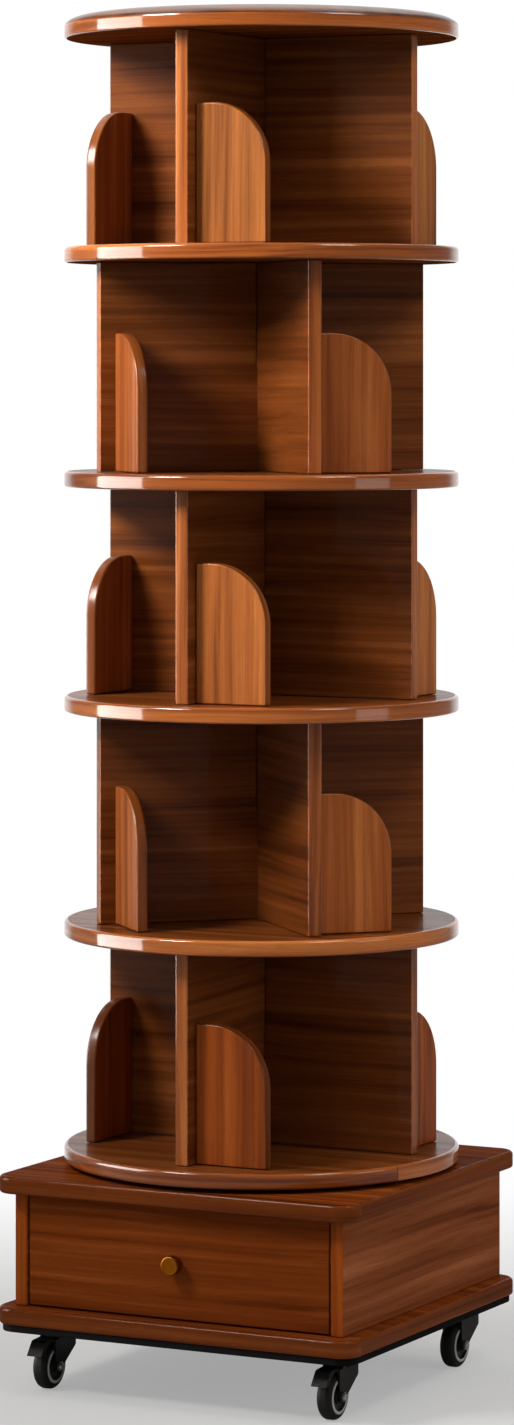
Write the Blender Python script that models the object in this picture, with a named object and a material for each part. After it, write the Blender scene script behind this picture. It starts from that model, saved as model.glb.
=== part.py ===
"""Revolving bookcase: a five-tier round carousel turning on a square drawer base with castors.

Metres, +Z up. The floor is z = 0, the carousel turns about the Z axis, and the drawer opens towards -Y.
"""

import math

import bmesh
import bpy
from mathutils import Matrix, Vector

# Fits between pieces
SEAT_GAP = 0.0003
PIN_CLEARANCE = 0.0003
RING_CLEARANCE = 0.0005

# Carousel shelves
TIER_COUNT = 5
SHELF_DIAMETER = 0.460
SHELF_THICKNESS = 0.018
SHELF_ARRIS = 0.0025
TOP_THICKNESS = 0.026
TOP_ROUNDING_WIDTH = 0.032
TOP_ROUNDING_HEIGHT = 0.013
TIER_CLEAR_HEIGHT = 0.243
TIER_TURN = math.radians(45)

# Cross walls between the shelves
WALL_THICKNESS = 0.016
WALL_RIM_INSET = 0.032

# Arched stops at the ends of the wall arms
STOP_WIDTH = 0.090
STOP_HEIGHT = 0.160
STOP_THICKNESS = 0.013
STOP_CORNER_RADIUS = 0.070
STOP_END_INSET = 0.018

# Turntable rings between the base and the carousel
RING_OUTER_RADIUS = 0.120
RING_BORE_RADIUS = 0.090
RING_THICKNESS = 0.002
SPIGOT_WALL = 0.008

# Base boards, which reach as far as the shelves, and the cabinet between them
BASE_BOARD_THICKNESS = 0.020
BASE_CORNER_RADIUS = 0.025
BASE_ARRIS = 0.0025
BASE_OVERHANG = 0.020
BASE_REAR_OVERHANG = 0.012
CABINET_WIDTH = SHELF_DIAMETER - 2 * BASE_OVERHANG
CABINET_DEPTH = SHELF_DIAMETER - 2 * BASE_OVERHANG
CABINET_HEIGHT = 0.130
CABINET_SIDE_THICKNESS = 0.016
CABINET_BACK_THICKNESS = 0.012
UNDERBOARD_THICKNESS = 0.008
UNDERBOARD_INSET = 0.004

# Drawer
DRAWER_FRONT_GAP = 0.002
DRAWER_FRONT_RECESS = 0.001
DRAWER_FRONT_THICKNESS = 0.016
DRAWER_SIDE_CLEARANCE = 0.002
DRAWER_RUN_CLEARANCE = 0.0005
DRAWER_TOP_CLEARANCE = 0.030
DRAWER_BACK_CLEARANCE = 0.030
DRAWER_BOX_THICKNESS = 0.012
DRAWER_BOTTOM_THICKNESS = 0.006
DRAWER_BOTTOM_HEIGHT = 0.008
DRAWER_GROOVE_DEPTH = 0.005

# Drawer knob
KNOB_RADIUS = 0.011
KNOB_PROJECTION = 0.020
KNOB_FOOT_RADIUS = 0.007
KNOB_FOOT_THICKNESS = 0.002
KNOB_NECK_RADIUS = 0.0045
KNOB_NECK_LENGTH = 0.006
KNOB_DOME_RISE = 0.003
KNOB_STUD_RADIUS = 0.002
KNOB_STUD_LENGTH = 0.012

# Castors
WHEEL_DIAMETER = 0.053
WHEEL_WIDTH = 0.018
WHEEL_SHOULDER = 0.005
AXLE_RADIUS = 0.003
AXLE_HEAD_RADIUS = 0.005
AXLE_HEAD_LENGTH = 0.005
FORK_SIDE_CLEARANCE = 0.001
FORK_STEEL = 0.0025
FORK_CROWN_CLEARANCE = 0.0035
FORK_EYE_RADIUS = 0.007
FORK_REAR_REACH = 0.018
FORK_FRONT_REACH = 0.012
FORK_CHEEK_DEPTH = 0.014
NECK_RADIUS = 0.013
NECK_HEIGHT = 0.0107
STEM_RADIUS = 0.005
STEM_EMBED = 0.012
SWIVEL_TRAIL = 0.022
CASTOR_SIDE_INSET = 0.048
CASTOR_FRONT_INSET = 0.072
CASTOR_REAR_INSET = 0.057

# Brake levers on the front castors
PEDAL_CLEARANCE = 0.005
PEDAL_THICKNESS = 0.0025
PEDAL_SIDE_CLEARANCE = 0.0005
PEDAL_START = math.radians(78)
PEDAL_END = math.radians(150)
PEDAL_CORNER_ANGLE = math.radians(127)
PEDAL_CORNER_SWELL = 0.006
PEDAL_TIP_ANGLE = math.radians(156)
PEDAL_TIP_SWELL = 0.0055
TRUNNION_RADIUS = 0.0012
TRUNNION_ANGLE = math.radians(82)
TRUNNION_EAR_RADIUS = 0.004

# Facets of round shapes
SHELF_SEGMENTS = 48
RING_SEGMENTS = 48
WHEEL_SEGMENTS = 24
KNOB_SEGMENTS = 20
PIN_SEGMENTS = 12
CORNER_SEGMENTS = 5
ARCH_SEGMENTS = 8
PEDAL_SEGMENTS = 7
ROUNDING_SEGMENTS = 6
EYE_SEGMENTS = 4
SMOOTH_ANGLE = math.radians(35)

# Levels worked out from the floor up
WHEEL_RADIUS = WHEEL_DIAMETER / 2
CROWN_UNDER = WHEEL_DIAMETER + FORK_CROWN_CLEARANCE
CROWN_TOP = CROWN_UNDER + FORK_STEEL
NECK_TOP = CROWN_TOP + NECK_HEIGHT
UNDERBOARD_LOW = NECK_TOP + SEAT_GAP
UNDERBOARD_HIGH = UNDERBOARD_LOW + UNDERBOARD_THICKNESS
FLOOR_BOARD_LOW = UNDERBOARD_HIGH + SEAT_GAP
FLOOR_BOARD_HIGH = FLOOR_BOARD_LOW + BASE_BOARD_THICKNESS
CABINET_TOP = FLOOR_BOARD_HIGH + CABINET_HEIGHT
BASE_TOP = CABINET_TOP + BASE_BOARD_THICKNESS
LOWER_RING_LOW = BASE_TOP + SEAT_GAP
UPPER_RING_LOW = LOWER_RING_LOW + RING_THICKNESS + SEAT_GAP
CAROUSEL_LOW = UPPER_RING_LOW + RING_THICKNESS + SEAT_GAP
TIER_PITCH = SHELF_THICKNESS + TIER_CLEAR_HEIGHT

# Plan sizes worked out from the driving ones
SHELF_RADIUS = SHELF_DIAMETER / 2
WALL_REACH = SHELF_RADIUS - WALL_RIM_INSET
WALL_HEIGHT = TIER_CLEAR_HEIGHT - 2 * SEAT_GAP
CABINET_HALF_WIDTH = CABINET_WIDTH / 2
CABINET_HALF_DEPTH = CABINET_DEPTH / 2
BASE_HALF_WIDTH = CABINET_HALF_WIDTH + BASE_OVERHANG
BASE_FRONT = -CABINET_HALF_DEPTH - BASE_OVERHANG
BASE_REAR = CABINET_HALF_DEPTH + BASE_REAR_OVERHANG
CABINET_INNER_HALF = CABINET_HALF_WIDTH - CABINET_SIDE_THICKNESS
DRAWER_FACE_Y = DRAWER_FRONT_RECESS - CABINET_HALF_DEPTH
DRAWER_BOX_FRONT = DRAWER_FACE_Y + DRAWER_FRONT_THICKNESS + SEAT_GAP
DRAWER_BOX_REAR = CABINET_HALF_DEPTH - CABINET_BACK_THICKNESS - DRAWER_BACK_CLEARANCE
DRAWER_BOX_HALF = CABINET_INNER_HALF - DRAWER_SIDE_CLEARANCE
DRAWER_INNER_HALF = DRAWER_BOX_HALF - DRAWER_BOX_THICKNESS
DRAWER_BOX_LOW = FLOOR_BOARD_HIGH + DRAWER_RUN_CLEARANCE
DRAWER_BOX_HIGH = CABINET_TOP - DRAWER_TOP_CLEARANCE
DRAWER_BOTTOM_LOW = DRAWER_BOX_LOW + DRAWER_BOTTOM_HEIGHT
DRAWER_BOTTOM_HIGH = DRAWER_BOTTOM_LOW + DRAWER_BOTTOM_THICKNESS
DRAWER_MIDDLE = (FLOOR_BOARD_HIGH + CABINET_TOP) / 2
FORK_INNER_HALF = WHEEL_WIDTH / 2 + FORK_SIDE_CLEARANCE
FORK_OUTER_HALF = FORK_INNER_HALF + FORK_STEEL
PEDAL_INNER_RADIUS = WHEEL_RADIUS + PEDAL_CLEARANCE
PEDAL_OUTER_RADIUS = PEDAL_INNER_RADIUS + PEDAL_THICKNESS
TRUNNION_ARM = (PEDAL_INNER_RADIUS + PEDAL_OUTER_RADIUS) / 2
CASTOR_X = BASE_HALF_WIDTH - CASTOR_SIDE_INSET
CASTOR_FRONT_Y = BASE_FRONT + CASTOR_FRONT_INSET
CASTOR_REAR_Y = BASE_REAR - CASTOR_REAR_INSET


def clear_scene():
    for obj in list(bpy.data.objects):
        bpy.data.objects.remove(obj, do_unlink=True)


def finish(name, colour, roughness, metallic=0.0):
    """A Principled material with one colour."""
    material = bpy.data.materials.new(name)
    material.use_nodes = True
    shader = material.node_tree.nodes["Principled BSDF"]
    shader.inputs["Base Color"].default_value = (*colour, 1.0)
    shader.inputs["Roughness"].default_value = roughness
    shader.inputs["Metallic"].default_value = metallic
    return material


def closed_mesh(name, bm, smooth=False):
    """The bmesh as mesh data, with its faces turned outwards."""
    bmesh.ops.recalc_face_normals(bm, faces=bm.faces)
    mesh = bpy.data.meshes.new(name)
    bm.to_mesh(mesh)
    bm.free()
    if smooth:
        mesh.shade_smooth()
        mesh.set_sharp_from_angle(angle=SMOOTH_ANGLE)
    return mesh


def block_mesh(name, low, high):
    """A box between two corners."""
    low = Vector(low)
    high = Vector(high)
    bm = bmesh.new()
    bmesh.ops.create_cube(bm, size=1.0)
    bmesh.ops.scale(bm, vec=high - low, verts=bm.verts)
    bmesh.ops.translate(bm, vec=(low + high) / 2, verts=bm.verts)
    return closed_mesh(name, bm)


def extruded_mesh(name, outline, along, smooth=False):
    """A flat outline of points, extruded by the vector along."""
    bm = bmesh.new()
    face = bm.faces.new([bm.verts.new(point) for point in outline])
    grown = bmesh.ops.extrude_face_region(bm, geom=[face])["geom"]
    moved = [item for item in grown if isinstance(item, bmesh.types.BMVert)]
    bmesh.ops.translate(bm, vec=along, verts=moved)
    return closed_mesh(name, bm, smooth)


def turned_mesh(name, profile, segments, axis="Z", ring=False, start=0.0):
    """A profile of (radius, height) points spun about Z from a start angle, then laid along an axis."""
    bm = bmesh.new()
    points = [bm.verts.new((radius, 0.0, height)) for radius, height in profile]
    pairs = list(zip(points, points[1:]))
    if ring:
        pairs.append((points[-1], points[0]))
    edges = [bm.edges.new(pair) for pair in pairs]
    bmesh.ops.spin(
        bm,
        geom=points + edges,
        axis=(0.0, 0.0, 1.0),
        cent=(0.0, 0.0, 0.0),
        angle=math.tau,
        steps=segments,
        use_merge=True,
    )
    bmesh.ops.remove_doubles(bm, verts=bm.verts, dist=1e-6)
    turn = {
        "X": Matrix.Rotation(math.radians(90), 3, "Y"),
        "Y": Matrix.Rotation(math.radians(90), 3, "X"),
        "Z": Matrix.Identity(3),
    }
    bmesh.ops.rotate(bm, matrix=turn[axis] @ Matrix.Rotation(start, 3, "Z"), verts=bm.verts)
    return closed_mesh(name, bm, smooth=True)


def pin_mesh(name, radius, start, end, axis="Z"):
    """A plain round pin along an axis."""
    profile = [(0.0, end), (radius, end), (radius, start), (0.0, start)]
    return turned_mesh(name, profile, PIN_SEGMENTS, axis)


def arc(centre, radius, start, end, segments):
    """Points on an arc, as pairs, from the start angle to the end angle."""
    steps = [start + (end - start) * i / segments for i in range(segments + 1)]
    return [(centre[0] + radius * math.cos(a), centre[1] + radius * math.sin(a)) for a in steps]


def rounded_rectangle(half_width, front, rear, radius):
    """The outline of a rectangle with round corners, as pairs."""
    x = half_width - radius
    far = rear - radius
    near = front + radius
    outline = []
    for quarter, centre in enumerate([(x, far), (-x, far), (-x, near), (x, near)]):
        start = quarter * math.pi / 2
        outline += arc(centre, radius, start, start + math.pi / 2, CORNER_SEGMENTS)
    return outline


def place(name, mesh, material, location=(0.0, 0.0, 0.0), turn=0.0, parent=None):
    """One node: an object with this mesh, placed in its parent's space."""
    obj = bpy.data.objects.new(name, mesh)
    bpy.context.scene.collection.objects.link(obj)
    obj.location = location
    obj.rotation_euler.z = turn
    obj.parent = parent
    if material and material.name not in mesh.materials:
        mesh.materials.append(material)
    return obj


def helper(name, mesh, location=(0.0, 0.0, 0.0)):
    """A shape that only cuts or joins another: wire in the viewport, absent from a render."""
    obj = place(name, mesh, None, location)
    obj.display_type = "WIRE"
    obj.hide_render = True
    return obj


def combine(obj, other, operation):
    modifier = obj.modifiers.new(other.name, "BOOLEAN")
    modifier.operation = operation
    modifier.solver = "EXACT"
    modifier.object = other


def soften(obj, width):
    """A chamfer along the sharp edges."""
    modifier = obj.modifiers.new("arris", "BEVEL")
    modifier.width = width
    modifier.segments = 1
    modifier.limit_method = "ANGLE"
    modifier.angle_limit = SMOOTH_ANGLE


def worked_mesh(name, obj, helpers):
    """The object's mesh as its modifiers leave it; the object and its helpers are removed."""
    bpy.context.view_layer.update()
    graph = bpy.context.evaluated_depsgraph_get()
    mesh = bpy.data.meshes.new_from_object(obj.evaluated_get(graph))
    mesh.name = name
    for used in [obj, *helpers]:
        bpy.data.objects.remove(used, do_unlink=True)
    mesh.set_sharp_from_angle(angle=SMOOTH_ANGLE)
    return mesh


def empty(name, location=(0.0, 0.0, 0.0)):
    """A joint's frame, which its pieces are parented to."""
    obj = bpy.data.objects.new(name, None)
    bpy.context.scene.collection.objects.link(obj)
    obj.location = location
    return obj


def shelf_mesh():
    edge = SHELF_ARRIS
    profile = [
        (0.0, SHELF_THICKNESS),
        (SHELF_RADIUS - edge, SHELF_THICKNESS),
        (SHELF_RADIUS, SHELF_THICKNESS - edge),
        (SHELF_RADIUS, edge),
        (SHELF_RADIUS - edge, 0.0),
        (0.0, 0.0),
    ]
    return turned_mesh("shelf", profile, SHELF_SEGMENTS)


def top_mesh():
    """The uppermost disc, whose upper rim falls away in a wide, low rounding."""
    inner = SHELF_RADIUS - TOP_ROUNDING_WIDTH
    shoulder = TOP_THICKNESS - TOP_ROUNDING_HEIGHT
    quarter = arc((0.0, 0.0), 1.0, math.radians(90), 0.0, ROUNDING_SEGMENTS)
    rounding = [(inner + TOP_ROUNDING_WIDTH * x, shoulder + TOP_ROUNDING_HEIGHT * y) for x, y in quarter]
    profile = [
        (0.0, TOP_THICKNESS),
        *rounding,
        (SHELF_RADIUS, SHELF_ARRIS),
        (SHELF_RADIUS - SHELF_ARRIS, 0.0),
        (0.0, 0.0),
    ]
    return turned_mesh("top", profile, SHELF_SEGMENTS)


def wall_mesh(name, slot_from_top):
    """A board along X with a slot to its middle, which its partner crosses."""
    half = WALL_THICKNESS / 2 + SEAT_GAP
    middle = WALL_HEIGHT / 2
    if slot_from_top:
        floor = middle - SEAT_GAP / 2
        bottom = [(-WALL_REACH, 0.0), (WALL_REACH, 0.0)]
        notch = [(half, WALL_HEIGHT), (half, floor), (-half, floor), (-half, WALL_HEIGHT)]
        pairs = [*bottom, (WALL_REACH, WALL_HEIGHT), *notch, (-WALL_REACH, WALL_HEIGHT)]
    else:
        roof = middle + SEAT_GAP / 2
        notch = [(-half, 0.0), (-half, roof), (half, roof), (half, 0.0)]
        upper = [(WALL_REACH, WALL_HEIGHT), (-WALL_REACH, WALL_HEIGHT)]
        pairs = [(-WALL_REACH, 0.0), *notch, (WALL_REACH, 0.0), *upper]
    outline = [(x, WALL_THICKNESS / 2, z) for x, z in pairs]
    return extruded_mesh(name, outline, (0.0, -WALL_THICKNESS, 0.0))


def stop_mesh():
    """A stop for the wall arm that points along +X: it stands across the arm, on its +Y side."""
    outer = WALL_REACH - STOP_END_INSET
    inner = WALL_THICKNESS / 2 + SEAT_GAP
    far = inner + STOP_WIDTH
    radius = min(STOP_CORNER_RADIUS, STOP_WIDTH, STOP_HEIGHT)
    corner = arc((far - radius, STOP_HEIGHT - radius), radius, 0.0, math.pi / 2, ARCH_SEGMENTS)
    pairs = [(inner, 0.0), (far, 0.0), *corner, (inner, STOP_HEIGHT)]
    outline = [(outer, y, z) for y, z in pairs]
    return extruded_mesh("stop", outline, (-STOP_THICKNESS, 0.0, 0.0), smooth=True)


def build_carousel(lacquer, plastic):
    """Shelves, cross walls, stops and the upper turntable ring, all turning together."""
    axis = empty("carousel_axis")
    spigot = RING_BORE_RADIUS - RING_CLEARANCE
    ring_high = UPPER_RING_LOW + RING_THICKNESS
    ring_profile = [
        (spigot - SPIGOT_WALL, ring_high),
        (RING_OUTER_RADIUS, ring_high),
        (RING_OUTER_RADIUS, UPPER_RING_LOW),
        (spigot, UPPER_RING_LOW),
        (spigot, LOWER_RING_LOW),
        (spigot - SPIGOT_WALL, LOWER_RING_LOW),
    ]
    ring = turned_mesh("upper_ring", ring_profile, RING_SEGMENTS, ring=True)
    place("turntable_upper_ring", ring, plastic, parent=axis)
    shelf = shelf_mesh()
    wall_a = wall_mesh("wall_slot_up", True)
    wall_b = wall_mesh("wall_slot_down", False)
    stop = stop_mesh()
    for tier in range(1, TIER_COUNT + 1):
        shelf_low = CAROUSEL_LOW + (tier - 1) * TIER_PITCH
        place(f"shelf_{tier}", shelf, lacquer, (0.0, 0.0, shelf_low), parent=axis)
        seat = (0.0, 0.0, shelf_low + SHELF_THICKNESS + SEAT_GAP)
        turn = TIER_TURN if tier % 2 == 0 else 0.0
        quarter = math.pi / 2
        place(f"tier_{tier}_wall_a", wall_a, lacquer, seat, turn, axis)
        place(f"tier_{tier}_wall_b", wall_b, lacquer, seat, turn + quarter, axis)
        for arm in range(4):
            place(f"tier_{tier}_stop_{arm + 1}", stop, lacquer, seat, turn + arm * quarter, axis)
    top_low = CAROUSEL_LOW + TIER_COUNT * TIER_PITCH
    place("top_disc", top_mesh(), lacquer, (0.0, 0.0, top_low), parent=axis)


def castor_places():
    """Each castor's name, its swivel axis in plan, and whether it has a brake."""
    return [
        ("front_left", -CASTOR_X, CASTOR_FRONT_Y, True),
        ("front_right", CASTOR_X, CASTOR_FRONT_Y, True),
        ("rear_left", -CASTOR_X, CASTOR_REAR_Y, False),
        ("rear_right", CASTOR_X, CASTOR_REAR_Y, False),
    ]


def base_board(name, low, lacquer):
    pairs = rounded_rectangle(BASE_HALF_WIDTH, BASE_FRONT, BASE_REAR, BASE_CORNER_RADIUS)
    outline = [(x, y, 0.0) for x, y in pairs]
    mesh = extruded_mesh(name, outline, (0.0, 0.0, BASE_BOARD_THICKNESS), smooth=True)
    board = place(name, mesh, lacquer, (0.0, 0.0, low))
    soften(board, BASE_ARRIS)
    return board


def build_base(lacquer, black, steel):
    """The fixed cabinet: two boards, sides, back, the board that carries the castors, a ring."""
    floor_board = base_board("base_floor_board", FLOOR_BOARD_LOW, lacquer)
    base_board("base_top_board", CABINET_TOP, lacquer)
    low = FLOOR_BOARD_HIGH + SEAT_GAP
    high = CABINET_TOP - SEAT_GAP
    for name, side in [("base_side_left", -1), ("base_side_right", 1)]:
        edges = sorted([side * CABINET_HALF_WIDTH, side * CABINET_INNER_HALF])
        corners = (edges[0], -CABINET_HALF_DEPTH, low), (edges[1], CABINET_HALF_DEPTH, high)
        place(name, block_mesh(name, *corners), lacquer)
    half = CABINET_INNER_HALF - SEAT_GAP
    back_face = CABINET_HALF_DEPTH - CABINET_BACK_THICKNESS
    back = block_mesh("base_back", (-half, back_face, low), (half, CABINET_HALF_DEPTH, high))
    place("base_back", back, lacquer)
    inset = UNDERBOARD_INSET
    pairs = rounded_rectangle(
        BASE_HALF_WIDTH - inset, BASE_FRONT + inset, BASE_REAR - inset, BASE_CORNER_RADIUS - inset
    )
    outline = [(x, y, 0.0) for x, y in pairs]
    board = extruded_mesh("base_underboard", outline, (0.0, 0.0, UNDERBOARD_THICKNESS), smooth=True)
    underboard = place("base_underboard", board, black, (0.0, 0.0, UNDERBOARD_LOW))
    bore_top = FLOOR_BOARD_LOW + STEM_EMBED + PIN_CLEARANCE
    bore = pin_mesh("stem_bore", STEM_RADIUS + PIN_CLEARANCE, NECK_TOP, bore_top)
    for name, x, y, _ in castor_places():
        cutter = helper(f"stem_bore_{name}", bore, (x, y, 0.0))
        combine(underboard, cutter, "DIFFERENCE")
        combine(floor_board, cutter, "DIFFERENCE")
    ring_high = LOWER_RING_LOW + RING_THICKNESS
    profile = [
        (RING_BORE_RADIUS, ring_high),
        (RING_OUTER_RADIUS, ring_high),
        (RING_OUTER_RADIUS, LOWER_RING_LOW),
        (RING_BORE_RADIUS, LOWER_RING_LOW),
    ]
    ring = turned_mesh("lower_ring", profile, RING_SEGMENTS, ring=True)
    place("turntable_lower_ring", ring, steel)


def drawer_side_mesh(name, side):
    """A side board with a groove on its inner face for the drawer's bottom."""
    outer = side * DRAWER_BOX_HALF
    inner = side * DRAWER_INNER_HALF
    groove = side * (DRAWER_INNER_HALF + DRAWER_GROOVE_DEPTH)
    groove_low = DRAWER_BOTTOM_LOW - SEAT_GAP
    groove_high = DRAWER_BOTTOM_HIGH + SEAT_GAP
    pairs = [
        (outer, DRAWER_BOX_LOW),
        (inner, DRAWER_BOX_LOW),
        (inner, groove_low),
        (groove, groove_low),
        (groove, groove_high),
        (inner, groove_high),
        (inner, DRAWER_BOX_HIGH),
        (outer, DRAWER_BOX_HIGH),
    ]
    outline = [(x, DRAWER_BOX_FRONT, z) for x, z in pairs]
    return extruded_mesh(name, outline, (0.0, DRAWER_BOX_REAR - DRAWER_BOX_FRONT, 0.0))


def knob_mesh():
    """A turned knob lying along Y: its seat is y = 0, its head towards -Y, its stud towards +Y."""
    neck_end = KNOB_FOOT_THICKNESS + KNOB_NECK_LENGTH
    shoulder = KNOB_PROJECTION - KNOB_DOME_RISE
    widest = (neck_end + shoulder) / 2
    profile = [
        (0.0, KNOB_PROJECTION),
        (KNOB_RADIUS / 2, KNOB_PROJECTION - KNOB_DOME_RISE / 4),
        (KNOB_RADIUS - KNOB_DOME_RISE / 2, shoulder),
        (KNOB_RADIUS, widest),
        (KNOB_NECK_RADIUS, neck_end),
        (KNOB_NECK_RADIUS, KNOB_FOOT_THICKNESS),
        (KNOB_FOOT_RADIUS, KNOB_FOOT_THICKNESS),
        (KNOB_FOOT_RADIUS, 0.0),
        (KNOB_STUD_RADIUS, 0.0),
        (KNOB_STUD_RADIUS, -KNOB_STUD_LENGTH),
        (0.0, -KNOB_STUD_LENGTH),
    ]
    return turned_mesh("knob", profile, KNOB_SEGMENTS, axis="Y")


def build_drawer(lacquer, box_wood, brass):
    """A box drawer that runs on the floor board, with an inset front and a knob."""
    slide = empty("drawer_slide")
    half = CABINET_INNER_HALF - DRAWER_FRONT_GAP
    low = FLOOR_BOARD_HIGH + DRAWER_FRONT_GAP
    high = CABINET_TOP - DRAWER_FRONT_GAP
    rear = DRAWER_FACE_Y + DRAWER_FRONT_THICKNESS
    front_mesh = block_mesh("drawer_front", (-half, DRAWER_FACE_Y, low), (half, rear, high))
    front = place("drawer_front", front_mesh, lacquer, parent=slide)
    stud_end = KNOB_STUD_LENGTH + PIN_CLEARANCE
    stud_radius = KNOB_STUD_RADIUS + PIN_CLEARANCE
    stud_bore = pin_mesh("stud_bore", stud_radius, -stud_end, KNOB_FOOT_THICKNESS, axis="Y")
    knob_seat = (0.0, DRAWER_FACE_Y, DRAWER_MIDDLE)
    combine(front, helper("stud_bore", stud_bore, knob_seat), "DIFFERENCE")
    knob_place = (0.0, DRAWER_FACE_Y - SEAT_GAP, DRAWER_MIDDLE)
    place("drawer_knob", knob_mesh(), brass, knob_place, parent=slide)
    for name, side in [("drawer_side_left", -1), ("drawer_side_right", 1)]:
        place(name, drawer_side_mesh(name, side), box_wood, parent=slide)
    inner = DRAWER_INNER_HALF - SEAT_GAP
    back_face = DRAWER_BOX_REAR - DRAWER_BOX_THICKNESS
    back_low = DRAWER_BOTTOM_HIGH + SEAT_GAP
    corners = (-inner, back_face, back_low), (inner, DRAWER_BOX_REAR, DRAWER_BOX_HIGH)
    place("drawer_back", block_mesh("drawer_back", *corners), box_wood, parent=slide)
    tongue = DRAWER_INNER_HALF + DRAWER_GROOVE_DEPTH - SEAT_GAP
    bottom_low = (-tongue, DRAWER_BOX_FRONT, DRAWER_BOTTOM_LOW)
    bottom_high = (tongue, DRAWER_BOX_REAR, DRAWER_BOTTOM_HIGH)
    place("drawer_bottom", block_mesh("drawer_bottom", bottom_low, bottom_high), box_wood, parent=slide)


def fork_mesh(name, braked):
    """Crown, two cheeks, neck and stem in one piece; its origin is on the swivel axis at the floor.

    On a braked castor each cheek has an ear round the lever's trunnion.
    """
    crown_half = FORK_INNER_HALF + FORK_STEEL / 2
    crown_low = (-crown_half, -FORK_FRONT_REACH, CROWN_UNDER)
    crown_high = (crown_half, FORK_REAR_REACH, CROWN_TOP)
    fork = place("fork", block_mesh("crown", crown_low, crown_high), None)
    cheek_top = CROWN_TOP - FORK_STEEL / 4
    front = [(-SWIVEL_TRAIL - FORK_EYE_RADIUS / 4, cheek_top)]
    if braked:
        pivot = trunnion_place()
        rise = (cheek_top - pivot.z) / TRUNNION_EAR_RADIUS
        ear_start = math.asin(max(-1.0, min(1.0, rise)))
        front = arc((pivot.y, pivot.z), TRUNNION_EAR_RADIUS, ear_start, math.pi, EYE_SEGMENTS)
    axle = (-SWIVEL_TRAIL, WHEEL_RADIUS)
    eye = arc(axle, FORK_EYE_RADIUS, math.radians(180), math.radians(315), EYE_SEGMENTS)
    pairs = [
        *front,
        *eye,
        (FORK_REAR_REACH, cheek_top - FORK_CHEEK_DEPTH),
        (FORK_REAR_REACH, cheek_top),
    ]
    helpers = []
    for side in (-1, 1):
        outline = [(side * FORK_INNER_HALF, y, z) for y, z in pairs]
        cheek = extruded_mesh("cheek", outline, (side * FORK_STEEL, 0.0, 0.0))
        helpers.append(helper(f"cheek_{side}", cheek))
        combine(fork, helpers[-1], "UNION")
    neck_low = CROWN_TOP - FORK_STEEL / 2
    stem_high = FLOOR_BOARD_LOW + STEM_EMBED
    neck_profile = [
        (0.0, stem_high),
        (STEM_RADIUS, stem_high),
        (STEM_RADIUS, NECK_TOP),
        (NECK_RADIUS, NECK_TOP),
        (NECK_RADIUS, neck_low),
        (0.0, neck_low),
    ]
    helpers.append(helper("neck", turned_mesh("neck", neck_profile, PIN_SEGMENTS)))
    combine(fork, helpers[-1], "UNION")
    reach = FORK_OUTER_HALF + FORK_STEEL
    axle_bore = pin_mesh("axle_bore", AXLE_RADIUS + PIN_CLEARANCE, -reach, reach, axis="X")
    helpers.append(helper("axle_bore", axle_bore, (0.0, -SWIVEL_TRAIL, WHEEL_RADIUS)))
    combine(fork, helpers[-1], "DIFFERENCE")
    if braked:
        bore = pin_mesh("trunnion_bore", TRUNNION_RADIUS + PIN_CLEARANCE, -reach, reach, axis="X")
        helpers.append(helper("trunnion_bore", bore, trunnion_place()))
        combine(fork, helpers[-1], "DIFFERENCE")
    return worked_mesh(name, fork, helpers)


def trunnion_place():
    """The brake lever's pivot, from the swivel axis at the floor."""
    y = TRUNNION_ARM * math.cos(TRUNNION_ANGLE) - SWIVEL_TRAIL
    z = TRUNNION_ARM * math.sin(TRUNNION_ANGLE) + WHEEL_RADIUS
    return Vector((0.0, y, z))


def wheel_mesh():
    """Wheel and pressed-in axle, turned about X, with the axle's ends headed outside the fork.

    The tread's facets lie on the wheel's radius, and one of them lies flat on the floor.
    """
    half_step = math.pi / WHEEL_SEGMENTS
    tread = WHEEL_RADIUS / math.cos(half_step)
    half = WHEEL_WIDTH / 2
    head = FORK_OUTER_HALF + SEAT_GAP
    end = head + AXLE_HEAD_LENGTH
    right = [
        (0.0, end),
        (AXLE_HEAD_RADIUS, end),
        (AXLE_HEAD_RADIUS, head),
        (AXLE_RADIUS, head),
        (AXLE_RADIUS, half),
        (tread - WHEEL_SHOULDER, half),
        (tread, half - WHEEL_SHOULDER),
    ]
    left = [(radius, -x) for radius, x in reversed(right)]
    return turned_mesh("wheel", right + left, WHEEL_SEGMENTS, axis="X", start=half_step)


def lever_mesh():
    """A hooded pedal, hollowed round the wheel, with two trunnions; its origin is the trunnion axis."""
    pivot = trunnion_place()
    centre = (-SWIVEL_TRAIL - pivot.y, WHEEL_RADIUS - pivot.z)
    hood = [
        (PEDAL_OUTER_RADIUS, PEDAL_START),
        (PEDAL_OUTER_RADIUS, math.pi / 2),
        (PEDAL_OUTER_RADIUS + PEDAL_CORNER_SWELL, PEDAL_CORNER_ANGLE),
        (PEDAL_OUTER_RADIUS + PEDAL_TIP_SWELL, PEDAL_TIP_ANGLE),
    ]
    over = [(centre[0] + radius * math.cos(a), centre[1] + radius * math.sin(a)) for radius, a in hood]
    under = arc(centre, PEDAL_INNER_RADIUS, PEDAL_END, PEDAL_START, PEDAL_SEGMENTS)
    half = FORK_INNER_HALF - PEDAL_SIDE_CLEARANCE
    outline = [(-half, y, z) for y, z in [*over, *under]]
    lever = place("lever", extruded_mesh("pedal", outline, (2 * half, 0.0, 0.0), smooth=True), None)
    reach = FORK_OUTER_HALF
    trunnion = helper("trunnion", pin_mesh("trunnion", TRUNNION_RADIUS, -reach, reach, axis="X"))
    combine(lever, trunnion, "UNION")
    return worked_mesh("brake_lever", lever, [trunnion])


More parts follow.
